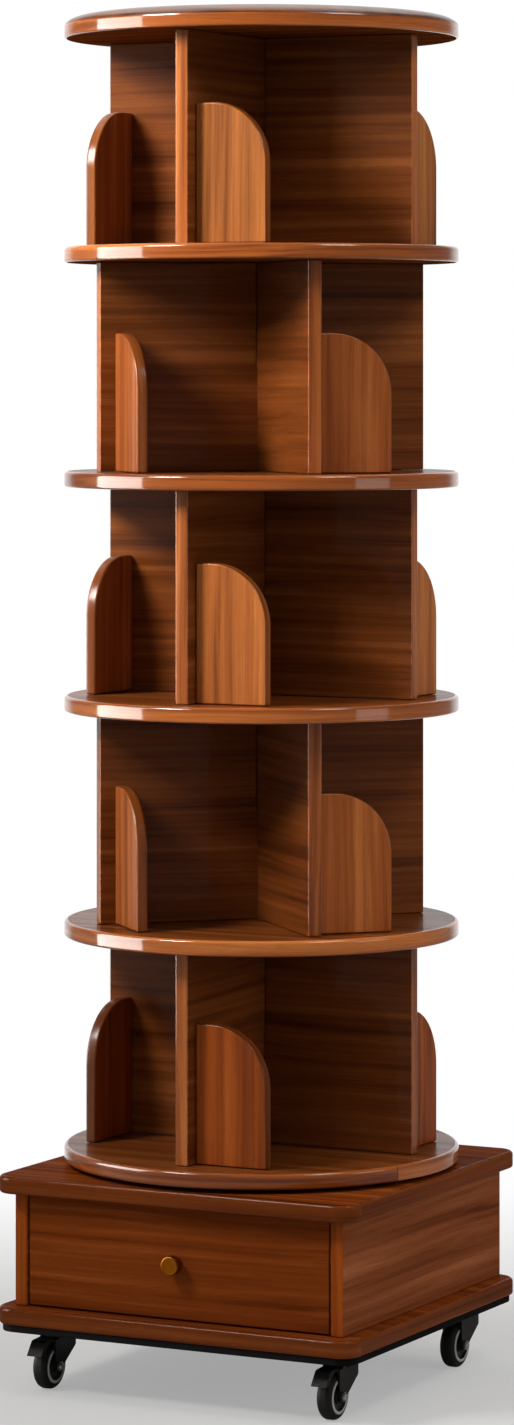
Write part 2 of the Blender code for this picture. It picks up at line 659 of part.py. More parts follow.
def build_castors(steel, rubber, black):
    """Four swivelling forks with their wheels, and a brake lever on each front one."""
    forks = {True: fork_mesh("braked_fork", True), False: fork_mesh("plain_fork", False)}
    wheel = wheel_mesh()
    lever = lever_mesh()
    for name, x, y, braked in castor_places():
        fork = place(f"castor_fork_{name}", forks[braked], steel, (x, y, 0.0))
        wheel_place = (0.0, -SWIVEL_TRAIL, WHEEL_RADIUS)
        place(f"castor_wheel_{name}", wheel, rubber, wheel_place, parent=fork)
        if braked:
            place(f"brake_lever_{name}", lever, black, trunnion_place(), parent=fork)


def main():
    clear_scene()
    lacquer = finish("red_walnut_lacquer", (0.23, 0.075, 0.028), 0.3)
    box_wood = finish("drawer_box_wood", (0.36, 0.19, 0.09), 0.55)
    black_board = finish("black_board", (0.012, 0.011, 0.011), 0.6)
    ring_steel = finish("ring_steel", (0.45, 0.45, 0.46), 0.35, 1.0)
    ring_plastic = finish("ring_plastic", (0.02, 0.02, 0.02), 0.5)
    brass = finish("aged_brass", (0.52, 0.32, 0.09), 0.35, 1.0)
    fork_paint = finish("black_fork_paint", (0.015, 0.014, 0.014), 0.4)
    tyre_rubber = finish("black_tyre", (0.012, 0.012, 0.012), 0.6)
    lever_plastic = finish("black_lever", (0.01, 0.01, 0.01), 0.45)
    build_base(lacquer, black_board, ring_steel)
    build_drawer(lacquer, box_wood, brass)
    build_castors(fork_paint, tyre_rubber, lever_plastic)
    build_carousel(lacquer, ring_plastic)


main()
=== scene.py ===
"""Looks of the revolving bookcase: lacquered boards, a brass knob and black castors."""
import math

import bpy
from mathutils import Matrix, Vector


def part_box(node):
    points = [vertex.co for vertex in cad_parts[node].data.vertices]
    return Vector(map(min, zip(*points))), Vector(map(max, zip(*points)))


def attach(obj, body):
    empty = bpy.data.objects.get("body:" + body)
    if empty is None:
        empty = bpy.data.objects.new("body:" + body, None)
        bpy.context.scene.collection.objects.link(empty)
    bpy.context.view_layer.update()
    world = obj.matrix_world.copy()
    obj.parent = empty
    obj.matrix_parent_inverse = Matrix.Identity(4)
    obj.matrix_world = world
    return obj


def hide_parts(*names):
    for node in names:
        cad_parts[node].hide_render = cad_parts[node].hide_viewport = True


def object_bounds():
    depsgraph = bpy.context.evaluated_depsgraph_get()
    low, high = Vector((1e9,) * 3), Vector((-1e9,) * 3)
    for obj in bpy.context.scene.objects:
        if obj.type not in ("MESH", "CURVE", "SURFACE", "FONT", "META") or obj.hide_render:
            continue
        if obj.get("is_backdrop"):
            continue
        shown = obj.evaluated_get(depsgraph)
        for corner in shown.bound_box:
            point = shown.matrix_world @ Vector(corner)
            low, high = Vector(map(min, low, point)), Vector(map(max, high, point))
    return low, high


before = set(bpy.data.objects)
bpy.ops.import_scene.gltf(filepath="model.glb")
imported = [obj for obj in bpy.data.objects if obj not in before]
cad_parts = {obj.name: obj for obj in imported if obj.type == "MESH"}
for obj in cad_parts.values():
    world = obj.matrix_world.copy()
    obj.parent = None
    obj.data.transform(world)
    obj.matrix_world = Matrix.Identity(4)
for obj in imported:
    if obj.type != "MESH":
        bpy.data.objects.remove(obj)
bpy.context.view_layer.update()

# The photograph's frame in pixels, and the camera fitted to it
FRAME_WIDTH = 514
FRAME_HEIGHT = 1425
FOCAL_PIXELS = 4869.8
AXIS_PIXEL = 261.5
HORIZON_PIXEL = 365.9
CAMERA_DISTANCE = 5.683
CAMERA_HEIGHT = 1.1767
CAMERA_TURN = math.radians(27.23)

# Rounding of the boards, in metres
SHELF_TOP_ROUND = 0.0042
SHELF_LOW_ROUND = 0.0026
TOP_ROUND_RISE = 0.013
TOP_ROUND_WIDTH = 0.032
TOP_BAND_RISE = 0.0022
BASE_CORNER = 0.025
UNDER_INSET = 0.004
BASE_TOP_ROUND = 0.0045
BASE_LOW_ROUND = 0.0035
BROKEN_EDGE = 0.0012
WALL_EDGE = 0.0016
SIDE_EDGE = 0.0014
UNDER_EDGE = 0.0015
DRAWER_BOX_EDGE = 0.0008
DRAWER_SIDE_ROUND = 0.004
STOP_ARCH = 0.070
STOP_ROUND = 0.0024
DISC_SIDES = 192
# Where the butt joint of each shelf's edge band is, as a turn from +X in radians
SHELF_SEAMS = (-0.36, 2.1, 2.9, 1.4, 3.6)
TOP_SEAM = 2.5

# Carousel: tiers, wall arms on each, and the turn of the second and the fourth tier
TIERS = len(SHELF_SEAMS)
ARMS = 4
EVEN_TIER_TURN = math.radians(45.0)

# Joints between boards, in metres; a cutter runs past the piece by its overshoot
WALL_SLOT = 0.0166
GROOVE_PLAY = 0.0003
OVERSHOOT = 0.01
# Faces of an end band are further from the axis than this in metres, and turned more to the end than this
WALL_END_FROM = 0.15
STILE_FROM = 0.3

# Knob: its foot and neck, then how far each stage goes out and the radius that it ends at, in metres
KNOB_FOOT_RADIUS = 0.007
KNOB_FOOT_DEPTH = 0.002
KNOB_NECK_RADIUS = 0.0045
KNOB_STAGES = (
    (0.0050, 0.0045),
    (0.0012, 0.0085),
    (0.0008, 0.0105),
    (0.0010, 0.0110),
    (0.0075, 0.0110),
    (0.0010, 0.0106),
    (0.0006, 0.0098),
)
# Width and rise of each step on the knob's face, from its rim inward
KNOB_STEPS = ((0.0008, 0.0), (0.0006, -0.0003))

# Swivel axes of the castors, from the carousel's axis, in metres
SWIVEL_X = 0.182
SWIVEL_FRONT_Y = -0.158
SWIVEL_REAR_Y = 0.165

# A castor's sizes, and its places from the swivel axis at the floor, in metres
WHEEL_RADIUS = 0.0265
WHEEL_WIDTH = 0.018
TYRE_SHOULDER = 0.0062
RING_RADIUS = 0.0199
HUB_RADIUS = 0.0165
# Width and rise of each step on a wheel's face, from the tyre's shoulder inward
WHEEL_STEPS = (
    (0.0004, 0.0),
    (0.0003, 0.0005),
    (0.0030, 0.0),
    (0.0008, -0.0030),
    (0.0075, -0.0004),
    (0.0008, 0.0028),
    (0.0020, 0.0),
)
NUT_GAP = 0.0003
NUT_RADIUS = 0.0056
NUT_DEPTH = 0.0030
NUT_CHAMFER = 0.0009
NUT_CHAMFER_RISE = 0.0002
CAP_RADIUS = 0.0042
CAP_DEPTH = 0.0026
CAP_MIDDLE = 0.0036
CAP_ROUND = 0.0016
SMALL_EDGE = 0.0003
TRAIL = 0.022
FORK_INNER = 0.010
FORK_OUTER = 0.0125
EYE_RADIUS = 0.007
# Share of the eye's radius at which the fork's slope leaves the eye
EYE_LEAVE = 0.707
FORK_NOSE_ROUND = 0.0068
FORK_HEEL_ROUND = 0.0040
FORK_EDGE = 0.0005
EAR_RADIUS = 0.004
CROWN_UNDER = 0.0565
CROWN_TOP = 0.059
CROWN_FRONT = -0.012
CROWN_SIDE_ROUND = 0.0030
CROWN_REAR_ROUND = 0.0050
FORK_REAR = 0.018
REAR_DROP = 0.014
NECK_RADIUS = 0.013
NECK_SINK = 0.0012
NECK_GAP = 0.0003
FLANGE_LOW = 0.0052
FLANGE_HIGH = 0.0066
FLANGE_WIDTH = 0.0016
PIVOT_Y = -0.01744
PIVOT_Z = 0.05893

# Brake pedal: radii of its side view about the axle in metres, and turns in degrees
PEDAL_INNER = 0.0315
PEDAL_OUTER = 0.034
PEDAL_CORNER_RADIUS = 0.040
PEDAL_TIP_RADIUS = 0.0395
PEDAL_REAR_TURN = 78.0
PEDAL_BROW_TURN = 90.0
PEDAL_CORNER_TURN = 127.0
PEDAL_TIP_TURN = 156.0
PEDAL_HEEL_TURN = 150.0
PEDAL_PLAY = 0.0006
PEDAL_CORNER_REACH = 0.011
PEDAL_CORNER_ROUND = 0.0025
PEDAL_EDGE = 0.0008
HOLLOW_LENGTH = 0.1

# Places closer than this are one, in metres
NEAR = 1e-5
# Limits of a direction's share along an axis: along it, square to it, and a face that is flat
ALONG = 0.9
SQUARE = 0.1
FLAT = 0.999
# Share of a normal above which a face takes the grain of a board's end, or below which that of its band
END_GRAIN = 0.75
BAND_GRAIN = 0.72
# How deep in the wood an end's or a band's grain is, and how the grain moves on from board to board
END_DEPTH = 0.31
STOP_BAND_DEPTH = 0.4
BASE_BAND_DEPTH = 0.2
PLANK_STEPS = (0.737, 0.219, 0.131)
PLANK_WRAPS = (5.0, 1.3, 0.9)

# Wood figure: scale of each layer along, across and through the grain
WANDER_SCALE = (1.7, 6.0, 6.0)
BAND_SCALE = (0.9, 48.0, 48.0)
STREAK_SCALE = (2.4, 130.0, 130.0)
FIBRE_SCALE = (11.0, 760.0, 760.0)
DRIFT_SCALE = (2.2, 7.0, 7.0)
PORE_SCALE = (55.0, 1400.0, 1400.0)
WANDER_REACH = 0.026
# Shares of the bands, streaks, fibres and drift, then the middle of their sum and its gain
FIGURE_SHARES = (0.46, 0.40, 0.14, 0.22)
FIGURE_MIDDLE = 0.61
FIGURE_GAIN = 2.6
# Values of the figure or of the pores' noise at which a tone or a pore starts or is full
DARK_END = 0.55
PALE_START = 0.45
PORE_START = 0.60
PORE_FULL = 0.72
DARK_ROUGHNESS = 0.42
PALE_ROUGHNESS = 0.30
PORE_ROUGHNESS = 0.2
FIBRE_HEIGHT = 0.35
HAZE_ROUGHNESS = 0.62
# Values of the speckle at which it is all dark and all pale
SPECKLE_DARK = 0.25
SPECKLE_PALE = 0.8
PAINT_COAT_ROUGHNESS = 0.25
# Turning lines: how close they are on each axis, by the axis of the lathe, and what they do to roughness
LATHE_CLOSENESS = {"Y": (60.0, 2600.0, 60.0), "Z": (60.0, 60.0, 2600.0)}
LATHE_ROUGHNESS = 0.2
# Butt joint of an edge band: half widths of its core and its blur in metres, its strength and its tone
SEAM_INNER = 0.0003
SEAM_OUTER = 0.0012
SEAM_STRENGTH = 0.75
SEAM_TONE = 0.25

# Floor, world and camera
FLOOR_SIZE = 60.0
FLOOR_TONE = 0.62
FLOOR_FADE_START = 0.30
FLOOR_FADE_END = 1.5
FLOOR_FADE_LEAST = 0.35
WHITE = (1.0, 1.0, 1.0, 1.0)
# Share of the view's direction at which the white background starts and is full in a mirrored ray
BACKDROP_EDGE = 0.75
BACKDROP_FULL = 0.92
WORLD_TINT = (1.0, 0.985, 0.97, 1.0)
WORLD_LEVEL = 0.40
WORLD_MIRRORED_SHARE = 0.4
LAMP_TINT = (1.0, 0.97, 0.93)
SENSOR_HEIGHT = 36.0


def let_go():
    """Leaves edit mode and selects nothing."""
    if bpy.context.mode != "OBJECT":
        bpy.ops.object.mode_set(mode="OBJECT")
    bpy.ops.object.select_all(action="DESELECT")


def take(piece):
    """Makes one piece the only selected and the active one."""
    let_go()
    piece.select_set(True)
    bpy.context.view_layer.objects.active = piece


def settle(piece, name):
    """Names a new primitive and puts its size, turn and place into its mesh."""
    piece.name = name
    piece.data.name = name
    take(piece)
    bpy.ops.object.transform_apply(location=True, rotation=True, scale=True)
    return piece


def saw_board(name, low, high):
    """A board between two corners."""
    let_go()
    low, high = Vector(low), Vector(high)
    bpy.ops.mesh.primitive_cube_add(size=1.0, location=(low + high) / 2)
    board = bpy.context.object
    board.scale = high - low
    return settle(board, name)


def turn_blank(name, radius, depth, middle, sides, axis="Z"):
    """A round blank about an axis through a point."""
    let_go()
    turn = {"X": (0.0, math.pi / 2, 0.0), "Y": (math.pi / 2, 0.0, 0.0), "Z": (0.0, 0.0, 0.0)}[axis]
    bpy.ops.mesh.primitive_cylinder_add(
        vertices=sides, radius=radius, depth=depth, location=middle, rotation=turn
    )
    return settle(bpy.context.object, name)


def pick(piece, kind, test):
    """Edit mode with only those faces or edges picked whose middle and direction pass a test."""
    take(piece)
    bpy.ops.object.mode_set(mode="EDIT")
    bpy.ops.mesh.select_mode(type=kind)
    bpy.ops.mesh.select_all(action="DESELECT")
    bpy.ops.object.mode_set(mode="OBJECT")
    mesh = piece.data
    if kind == "FACE":
        for face in mesh.polygons:
            face.select = test(face.center, face.normal)
    else:
        for edge in mesh.edges:
            start, end = (mesh.vertices[i].co for i in edge.vertices)
            edge.select = test((start + end) / 2, (end - start).normalized())
    bpy.ops.object.mode_set(mode="EDIT")


def done():
    """Leaves edit mode."""
    bpy.ops.object.mode_set(mode="OBJECT")


def along(direction, axis):
    """Whether an edge or a face's normal runs along an axis."""
    return abs(getattr(direction, axis)) > ALONG


def square_to(direction, axis):
    """Whether an edge or a face's normal is square to an axis."""
    return abs(getattr(direction, axis)) < SQUARE


def round_edges(piece, test, radius, segments):
    """Rounds the edges that pass a test."""
    pick(piece, "EDGE", test)
    bpy.ops.mesh.bevel(offset=radius, segments=segments, profile=0.5, affect="EDGES")
    done()


def round_rims(board, low, high, upper, lower, upper_segments):
    """Rounds the upper and the lower rim of a board."""
    round_edges(board, lambda m, d: m.z > high.z - NEAR and square_to(d, "z"), upper, upper_segments)
    round_edges(board, lambda m, d: m.z < low.z + NEAR and square_to(d, "z"), lower, segments=4)


def break_edges(piece, width, segments, angle=40.0):
    """Takes the sharpness off every remaining edge."""
    take(piece)
    arris = piece.modifiers.new("broken_edges", "BEVEL")
    arris.width = width
    arris.segments = segments
    arris.limit_method = "ANGLE"
    arris.angle_limit = math.radians(angle)
    bpy.ops.object.modifier_apply(modifier=arris.name)


def scrap(piece):
    """Takes a helper or a pattern away."""
    take(piece)
    bpy.ops.object.delete()


def cut_with(piece, cutter, operation="DIFFERENCE"):
    """Cuts or joins a piece with a helper, and takes the helper away."""
    take(piece)
    joint = piece.modifiers.new("cut", "BOOLEAN")
    joint.operation = operation
    joint.object = cutter
    joint.solver = "EXACT"
    bpy.ops.object.modifier_apply(modifier=joint.name)
    scrap(cutter)


def shade(piece, angle=38.0):
    """Smooth shading on the rounded edges, with the flat faces left flat."""
    take(piece)
    bpy.ops.object.shade_smooth_by_angle(angle=math.radians(angle))
    flat = piece.modifiers.new("flat_faces", "WEIGHTED_NORMAL")
    flat.keep_sharp = True
    flat.weight = 80
    bpy.ops.object.modifier_apply(modifier=flat.name)


def copy_of(piece, name, turn=0.0, shift=(0.0, 0.0, 0.0)):
    """A copy with its own mesh, turned about the upright axis and then moved."""
    take(piece)
    bpy.ops.object.duplicate(linked=False)
    other = bpy.context.object
    other.rotation_euler.z = turn
    other.location = shift
    return settle(other, name)


def lay_grain(piece, run):
    """Writes, for each corner of each face, its place along, across and through the grain."""
    mesh = piece.data
    layer = mesh.attributes.new("grain", "FLOAT_VECTOR", "CORNER")
    for face in mesh.polygons:
        for corner in face.loop_indices:
            spot = mesh.vertices[mesh.loops[corner].vertex_index].co
            layer.data[corner].vector = run(spot, face)


boards_laid = 0


def next_plank(piece):
    """Shifts a board's grain so that it looks sawn from another place in the wood."""
    global boards_laid
    boards_laid += 1
    shift = Vector([boards_laid * step % wrap for step, wrap in zip(PLANK_STEPS, PLANK_WRAPS)])
    for entry in piece.data.attributes["grain"].data:
        entry.vector = Vector(entry.vector) + shift


def board_run(long, wide, deep):
    """Grain along one axis of a board, and along the edge on its two end faces."""
    axes = {"X": 0, "Y": 1, "Z": 2}
    a, b, c = axes[long], axes[wide], axes[deep]

    def run(spot, face):
        if abs(face.normal[a]) > END_GRAIN:
            return Vector((spot[b], spot[c], spot[a] + END_DEPTH))
        return Vector((spot[a], spot[b], spot[c]))

    return run


def band_faces(piece, test, finish=1):
    """Gives the faces of an edge band the piece's second finish, or another one."""
    for face in piece.data.polygons:
        if test(face.center, face.normal):
            face.material_index = finish


def finish_piece(piece, materials, body, slot, *nodes):
    """Finishes, body and the CAD nodes that a piece stands for; the slot is not used."""
    for material in materials:
        piece.data.materials.append(material)
    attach(piece, body)
    if nodes:
        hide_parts(*nodes)


# Shader nodes


def add(tree, kind, **settings):
    """A new node with some of its settings."""
    node = tree.nodes.new(kind)
    for key, value in settings.items():
        setattr(node, key, value)
    return node


def feed(tree, value, socket):
    """Gives a socket a value, or joins an output to it."""
    if isinstance(value, bpy.types.NodeSocket):
        tree.links.new(value, socket)
    else:
        socket.default_value = value


def feed_row(tree, sockets, *values):
    """Feeds sockets in their order."""
    for socket, value in zip(sockets, values):
        feed(tree, value, socket)


def feed_named(tree, node, values):
    """Feeds a node's inputs by their names."""
    for name, value in values.items():
        feed(tree, value, node.inputs[name])


def math_node(tree, operation, first, second, clamp=False):
    """A math node fed with two numbers or outputs."""
    node = add(tree, "ShaderNodeMath", operation=operation, use_clamp=clamp)
    feed_row(tree, node.inputs, first, second)
    return node.outputs[0]


def vector_node(tree, operation, *places):
    """A vector math node fed with one or two places."""
    node = add(tree, "ShaderNodeVectorMath", operation=operation)
    feed_row(tree, node.inputs, *places)
    return node


def weighted(tree, layers):
    """The sum of several outputs, each times its share."""
    total = 0.0
    for value, share in layers:
        total = math_node(tree, "ADD", total, math_node(tree, "MULTIPLY", value, share))
    return total


def stretched(tree, vector, scale):
    """A place scaled by its own factor on each axis."""
    return vector_node(tree, "MULTIPLY", vector, scale).outputs[0]


def noise(tree, place, detail, scale=1.0, roughness=0.5):
    """Noise at a place; the scale is a number or an output."""
    node = add(tree, "ShaderNodeTexNoise", noise_dimensions="3D")
    feed_named(tree, node, {"Vector": place, "Scale": scale, "Detail": detail, "Roughness": roughness})
    return node.outputs["Fac"]


def mapped(tree, value, low, high, to_low=0.0, to_high=1.0, smooth=False):
    """One span of values brought to another, and held inside it."""
    node = add(tree, "ShaderNodeMapRange", clamp=True)
    if smooth:
        node.interpolation_type = "SMOOTHSTEP"
    spans = {"Value": value, "From Min": low, "From Max": high, "To Min": to_low, "To Max": to_high}
    feed_named(tree, node, spans)
    return node.outputs["Result"]


def blend_colours(tree, factor, first, second):
    """A blend of two colours, each a value or an output."""
    node = add(tree, "ShaderNodeMix", data_type="RGBA")
    sockets = [s for s in node.inputs if s.type == "RGBA"]
    feed(tree, factor, node.inputs["Factor"])
    feed_row(tree, sockets, first, second)
    return [s for s in node.outputs if s.type == "RGBA"][0]


def new_group(name, inputs, outputs):
    """An empty node group with named sockets; returns its tree, its input and its output node."""
    tree = bpy.data.node_groups.new(name, "ShaderNodeTree")
    for label, kind, value in inputs:
        socket = tree.interface.new_socket(label, in_out="INPUT", socket_type=f"NodeSocket{kind}")
        if value is not None:
            socket.default_value = value
    for label, kind in outputs:
        tree.interface.new_socket(label, in_out="OUTPUT", socket_type=f"NodeSocket{kind}")
    return tree, add(tree, "NodeGroupInput"), add(tree, "NodeGroupOutput")


def make_wood_figure():
    """Grain of a straight plank: slow drift of tone, wandering bands, streaks, fibres and short pores."""
    tree, given, result = new_group(
        "wood_figure",
        [
            ("Place", "Vector", None),
            ("Pale wood", "Color", (0.4, 0.2, 0.1, 1.0)),
            ("Body wood", "Color", (0.25, 0.1, 0.05, 1.0)),
            ("Dark wood", "Color", (0.1, 0.04, 0.02, 1.0)),
            ("Streak contrast", "Float", 1.0),
            ("Pore strength", "Float", 0.4),
        ],
        [("Color", "Color"), ("Roughness", "Float"), ("Height", "Float")],
    )
    place = given.outputs["Place"]
    wander = noise(tree, stretched(tree, place, WANDER_SCALE), detail=2.0)
    wander = math_node(tree, "MULTIPLY", math_node(tree, "SUBTRACT", wander, 0.5), WANDER_REACH)
    sway = add(tree, "ShaderNodeCombineXYZ")
    feed_named(tree, sway, {"Y": wander, "Z": wander})
    bent = vector_node(tree, "ADD", place, sway.outputs[0]).outputs[0]
    bands = noise(tree, stretched(tree, bent, BAND_SCALE), detail=2.0)
    streaks = noise(tree, stretched(tree, bent, STREAK_SCALE), detail=2.0)
    fibres = noise(tree, stretched(tree, bent, FIBRE_SCALE), detail=2.0)
    drift = noise(tree, stretched(tree, place, DRIFT_SCALE), detail=1.0)
    figure = weighted(tree, zip((bands, streaks, fibres, drift), FIGURE_SHARES))
    figure = math_node(tree, "SUBTRACT", figure, FIGURE_MIDDLE)
    figure = math_node(tree, "MULTIPLY", figure, given.outputs["Streak contrast"])
    figure = math_node(tree, "ADD", math_node(tree, "MULTIPLY", figure, FIGURE_GAIN), 0.5, clamp=True)
    low_half = mapped(tree, figure, 0.0, DARK_END, smooth=True)
    high_half = mapped(tree, figure, PALE_START, 1.0, smooth=True)
    colour = blend_colours(tree, low_half, given.outputs["Dark wood"], given.outputs["Body wood"])
    colour = blend_colours(tree, high_half, colour, given.outputs["Pale wood"])
    pores = noise(tree, stretched(tree, bent, PORE_SCALE), detail=1.0)
    pores = mapped(tree, pores, PORE_START, PORE_FULL)
    pores = math_node(tree, "MULTIPLY", pores, given.outputs["Pore strength"])
    colour = blend_colours(tree, pores, colour, given.outputs["Dark wood"])
    rough = mapped(tree, figure, 0.0, 1.0, DARK_ROUGHNESS, PALE_ROUGHNESS)
    rough = math_node(tree, "ADD", rough, math_node(tree, "MULTIPLY", pores, PORE_ROUGHNESS))
    height = math_node(tree, "SUBTRACT", math_node(tree, "MULTIPLY", fibres, FIBRE_HEIGHT), pores)
    feed_named(tree, result, {"Color": colour, "Roughness": rough, "Height": height})
    return tree


def make_handling_haze():
    """Faint cloudy marks of wiping and handling, as a number around zero."""
    tree, given, result = new_group(
        "handling_haze",
        [("Place", "Vector", None), ("Size", "Float", 9.0), ("Amount", "Float", 0.08)],
        [("Haze", "Float")],
    )
    place, size, amount = (given.outputs[name] for name in ("Place", "Size", "Amount"))
    cloud = noise(tree, place, detail=5.0, scale=size, roughness=HAZE_ROUGHNESS)
    cloud = math_node(tree, "SUBTRACT", cloud, 0.5)
    feed(tree, math_node(tree, "MULTIPLY", cloud, amount), result.inputs["Haze"])
    return tree


def make_fine_speckle():
    """Small rounded grains, as on moulded plastic, sprayed paint or rubber."""
    tree, given, result = new_group(
        "fine_speckle",
        [("Place", "Vector", None), ("Size", "Float", 900.0)],
        [("Speckle", "Float")],
    )
    speckle = noise(tree, given.outputs["Place"], detail=3.0, scale=given.outputs["Size"])
    feed(tree, speckle, result.inputs["Speckle"])
    return tree


def make_lathe_lines():
    """Fine lines that turning leaves, close together along the lathe's axis."""
    tree, given, result = new_group(
        "lathe_lines",
        [("Place", "Vector", None), ("Closeness", "Vector", LATHE_CLOSENESS["Z"])],
        [("Lines", "Float")],
    )
    place = stretched(tree, given.outputs["Place"], given.outputs["Closeness"])
    feed(tree, noise(tree, place, detail=2.0), result.inputs["Lines"])
    return tree


wood_figure = make_wood_figure()
handling_haze = make_handling_haze()
fine_speckle = make_fine_speckle()
lathe_lines = make_lathe_lines()


def empty_tree(owner, output):
    """The tree of a material or a world, emptied, and its output node."""
    owner.use_nodes = True
    tree = owner.node_tree
    tree.nodes.clear()
    return tree, add(tree, f"ShaderNodeOutput{output}")


def new_material(name):
    """A material with one Principled shader; returns it, its tree and the shader."""
    material = bpy.data.materials.new(name)
    tree, out = empty_tree(material, "Material")
    shader = add(tree, "ShaderNodeBsdfPrincipled")
    feed(tree, shader.outputs["BSDF"], out.inputs["Surface"])
    return material, tree, shader


def use_group(tree, group, values):
    """A node group with its inputs fed."""
    node = add(tree, "ShaderNodeGroup", node_tree=group)
    feed_named(tree, node, values)
    return node


def haze_at(tree, place, size, amount):
    return use_group(tree, handling_haze, {"Place": place, "Size": size, "Amount": amount}).outputs["Haze"]


def object_place(tree):
    return add(tree, "ShaderNodeTexCoord").outputs["Object"]


def relief(tree, shader, height, distance, strength):
    """Fine bumps on a shader's surface."""
    bump = add(tree, "ShaderNodeBump")
    feed_named(tree, bump, {"Height": height, "Distance": distance, "Strength": strength})
    feed(tree, bump.outputs["Normal"], shader.inputs["Normal"])


def wood_on_grain(tree, tones, contrast, pores):
    """The wood figure in three tones; returns its node and the place along the grain."""
    place = add(tree, "ShaderNodeAttribute", attribute_name="grain").outputs["Vector"]
    values = {"Place": place, "Streak contrast": contrast, "Pore strength": pores}
    for label, tone in zip(("Pale wood", "Body wood", "Dark wood"), tones):
        values[label] = (*tone, 1.0)
    return use_group(tree, wood_figure, values), place


def lacquered(name, tones, coat, contrast=1.0, seam=0.0, satin=0.08, gloss=0.04):
    """Wood in the given tones under a lacquer; seam gives the length of an edge band that has a butt
    joint.
    """
    material, tree, shader = new_material(name)
    wood, place = wood_on_grain(tree, tones, contrast, pores=0.35)
    haze = haze_at(tree, object_place(tree), size=7.0, amount=0.16)
    colour = wood.outputs["Color"]
    if seam:
        parts = add(tree, "ShaderNodeSeparateXYZ")
        feed(tree, place, parts.inputs[0])
        from_seam = math_node(tree, "PINGPONG", parts.outputs["X"], seam / 2)
        line = mapped(tree, from_seam, SEAM_INNER, SEAM_OUTER, SEAM_STRENGTH, 0.0)
        colour = blend_colours(tree, line, colour, (*[c * SEAM_TONE for c in tones[-1]], 1.0))
    lacquer = {
        "Base Color": colour,
        "Roughness": math_node(tree, "ADD", wood.outputs["Roughness"], haze, clamp=True),
        "Specular IOR Level": gloss,
        "Coat Weight": coat,
        "Coat Roughness": satin,
    }
    feed_named(tree, shader, lacquer)
    relief(tree, shader, wood.outputs["Height"], distance=0.00025, strength=0.5)
    return material


def plain_wood(name, tones, roughness_shift, gloss=0.2):
    """Wood with a thin matt sealer only."""
    material, tree, shader = new_material(name)
    wood = wood_on_grain(tree, tones, contrast=0.8, pores=0.25)[0]
    rough = math_node(tree, "ADD", wood.outputs["Roughness"], roughness_shift, clamp=True)
    sealer = {"Base Color": wood.outputs["Color"], "Roughness": rough, "Specular IOR Level": gloss}
    feed_named(tree, shader, sealer)
    relief(tree, shader, wood.outputs["Height"], distance=0.0003, strength=0.6)
    return material


def speckled(name, dark, pale, roughness, grain_size, depth, metallic=0.0, specular=0.25, coat=0.0):
    """Paint, rubber, plastic or plated metal with a fine speckle and a little haze."""
    material, tree, shader = new_material(name)
    place = object_place(tree)
    speck = use_group(tree, fine_speckle, {"Place": place, "Size": grain_size}).outputs["Speckle"]
    haze = haze_at(tree, place, size=40.0, amount=0.3)
    mix = mapped(tree, math_node(tree, "ADD", speck, haze), SPECKLE_DARK, SPECKLE_PALE)
    surface = {
        "Base Color": blend_colours(tree, mix, (*dark, 1.0), (*pale, 1.0)),
        "Roughness": math_node(tree, "ADD", haze, roughness, clamp=True),
        "Metallic": metallic,
        "Specular IOR Level": specular,
        "Coat Weight": coat,
        "Coat Roughness": PAINT_COAT_ROUGHNESS,
    }
    feed_named(tree, shader, surface)
    relief(tree, shader, speck, distance=depth, strength=0.5)
    return material


def brushed_metal(name, dark, pale, roughness, lathe_axis):
    """Metal with fine turning lines round an axis and a cloudy tarnish."""
    material, tree, shader = new_material(name)
    place = object_place(tree)
    values = {"Place": place, "Closeness": LATHE_CLOSENESS[lathe_axis]}
    lines = use_group(tree, lathe_lines, values).outputs["Lines"]
    tarnish = math_node(tree, "ADD", haze_at(tree, place, size=120.0, amount=1.1), 0.5, clamp=True)
    colour = blend_colours(tree, tarnish, (*dark, 1.0), (*pale, 1.0))
    rough = math_node(tree, "MULTIPLY", lines, LATHE_ROUGHNESS)
    rough = math_node(tree, "ADD", rough, roughness - LATHE_ROUGHNESS / 2, clamp=True)
    feed_named(tree, shader, {"Base Color": colour, "Roughness": rough, "Metallic": 1.0})
    relief(tree, shader, lines, distance=0.00004, strength=0.4)
    return material


def stain_and_light_tones(tones, *shares):
    """The tones of a wood scaled by a red, green and blue share: a stain on some pieces, painted light or
    shade on others.
    """
    return [tuple(channel * share for channel, share in zip(tone, shares)) for tone in tones]


# Linear colours of the pale, body and dark wood
FACE_TONES = ((0.40, 0.122, 0.028), (0.25, 0.064, 0.012), (0.105, 0.023, 0.004))
BAND_TONES = ((0.48, 0.150, 0.034), (0.30, 0.078, 0.014), (0.13, 0.030, 0.006))
BOX_TONES = ((0.62, 0.44, 0.27), (0.52, 0.34, 0.19), (0.38, 0.23, 0.12))
BLACK_TONES = ((0.008, 0.007, 0.007), (0.005, 0.0045, 0.004), (0.003, 0.0027, 0.0025))
# Shares of the stops' tones, from the lowest tier up: painted light and shade, each tier's stops lighter
# or darker for how the light falls on that tier
STOP_LIGHT_SHARES = (
    (1.20, 0.98, 0.66),
    (1.45, 1.50, 1.75),
    (1.50, 1.72, 2.00),
    (1.25, 1.27, 1.50),
    (1.42, 1.80, 2.15),
)
RIM_LENGTH = 2 * math.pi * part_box("shelf_1")[1].x
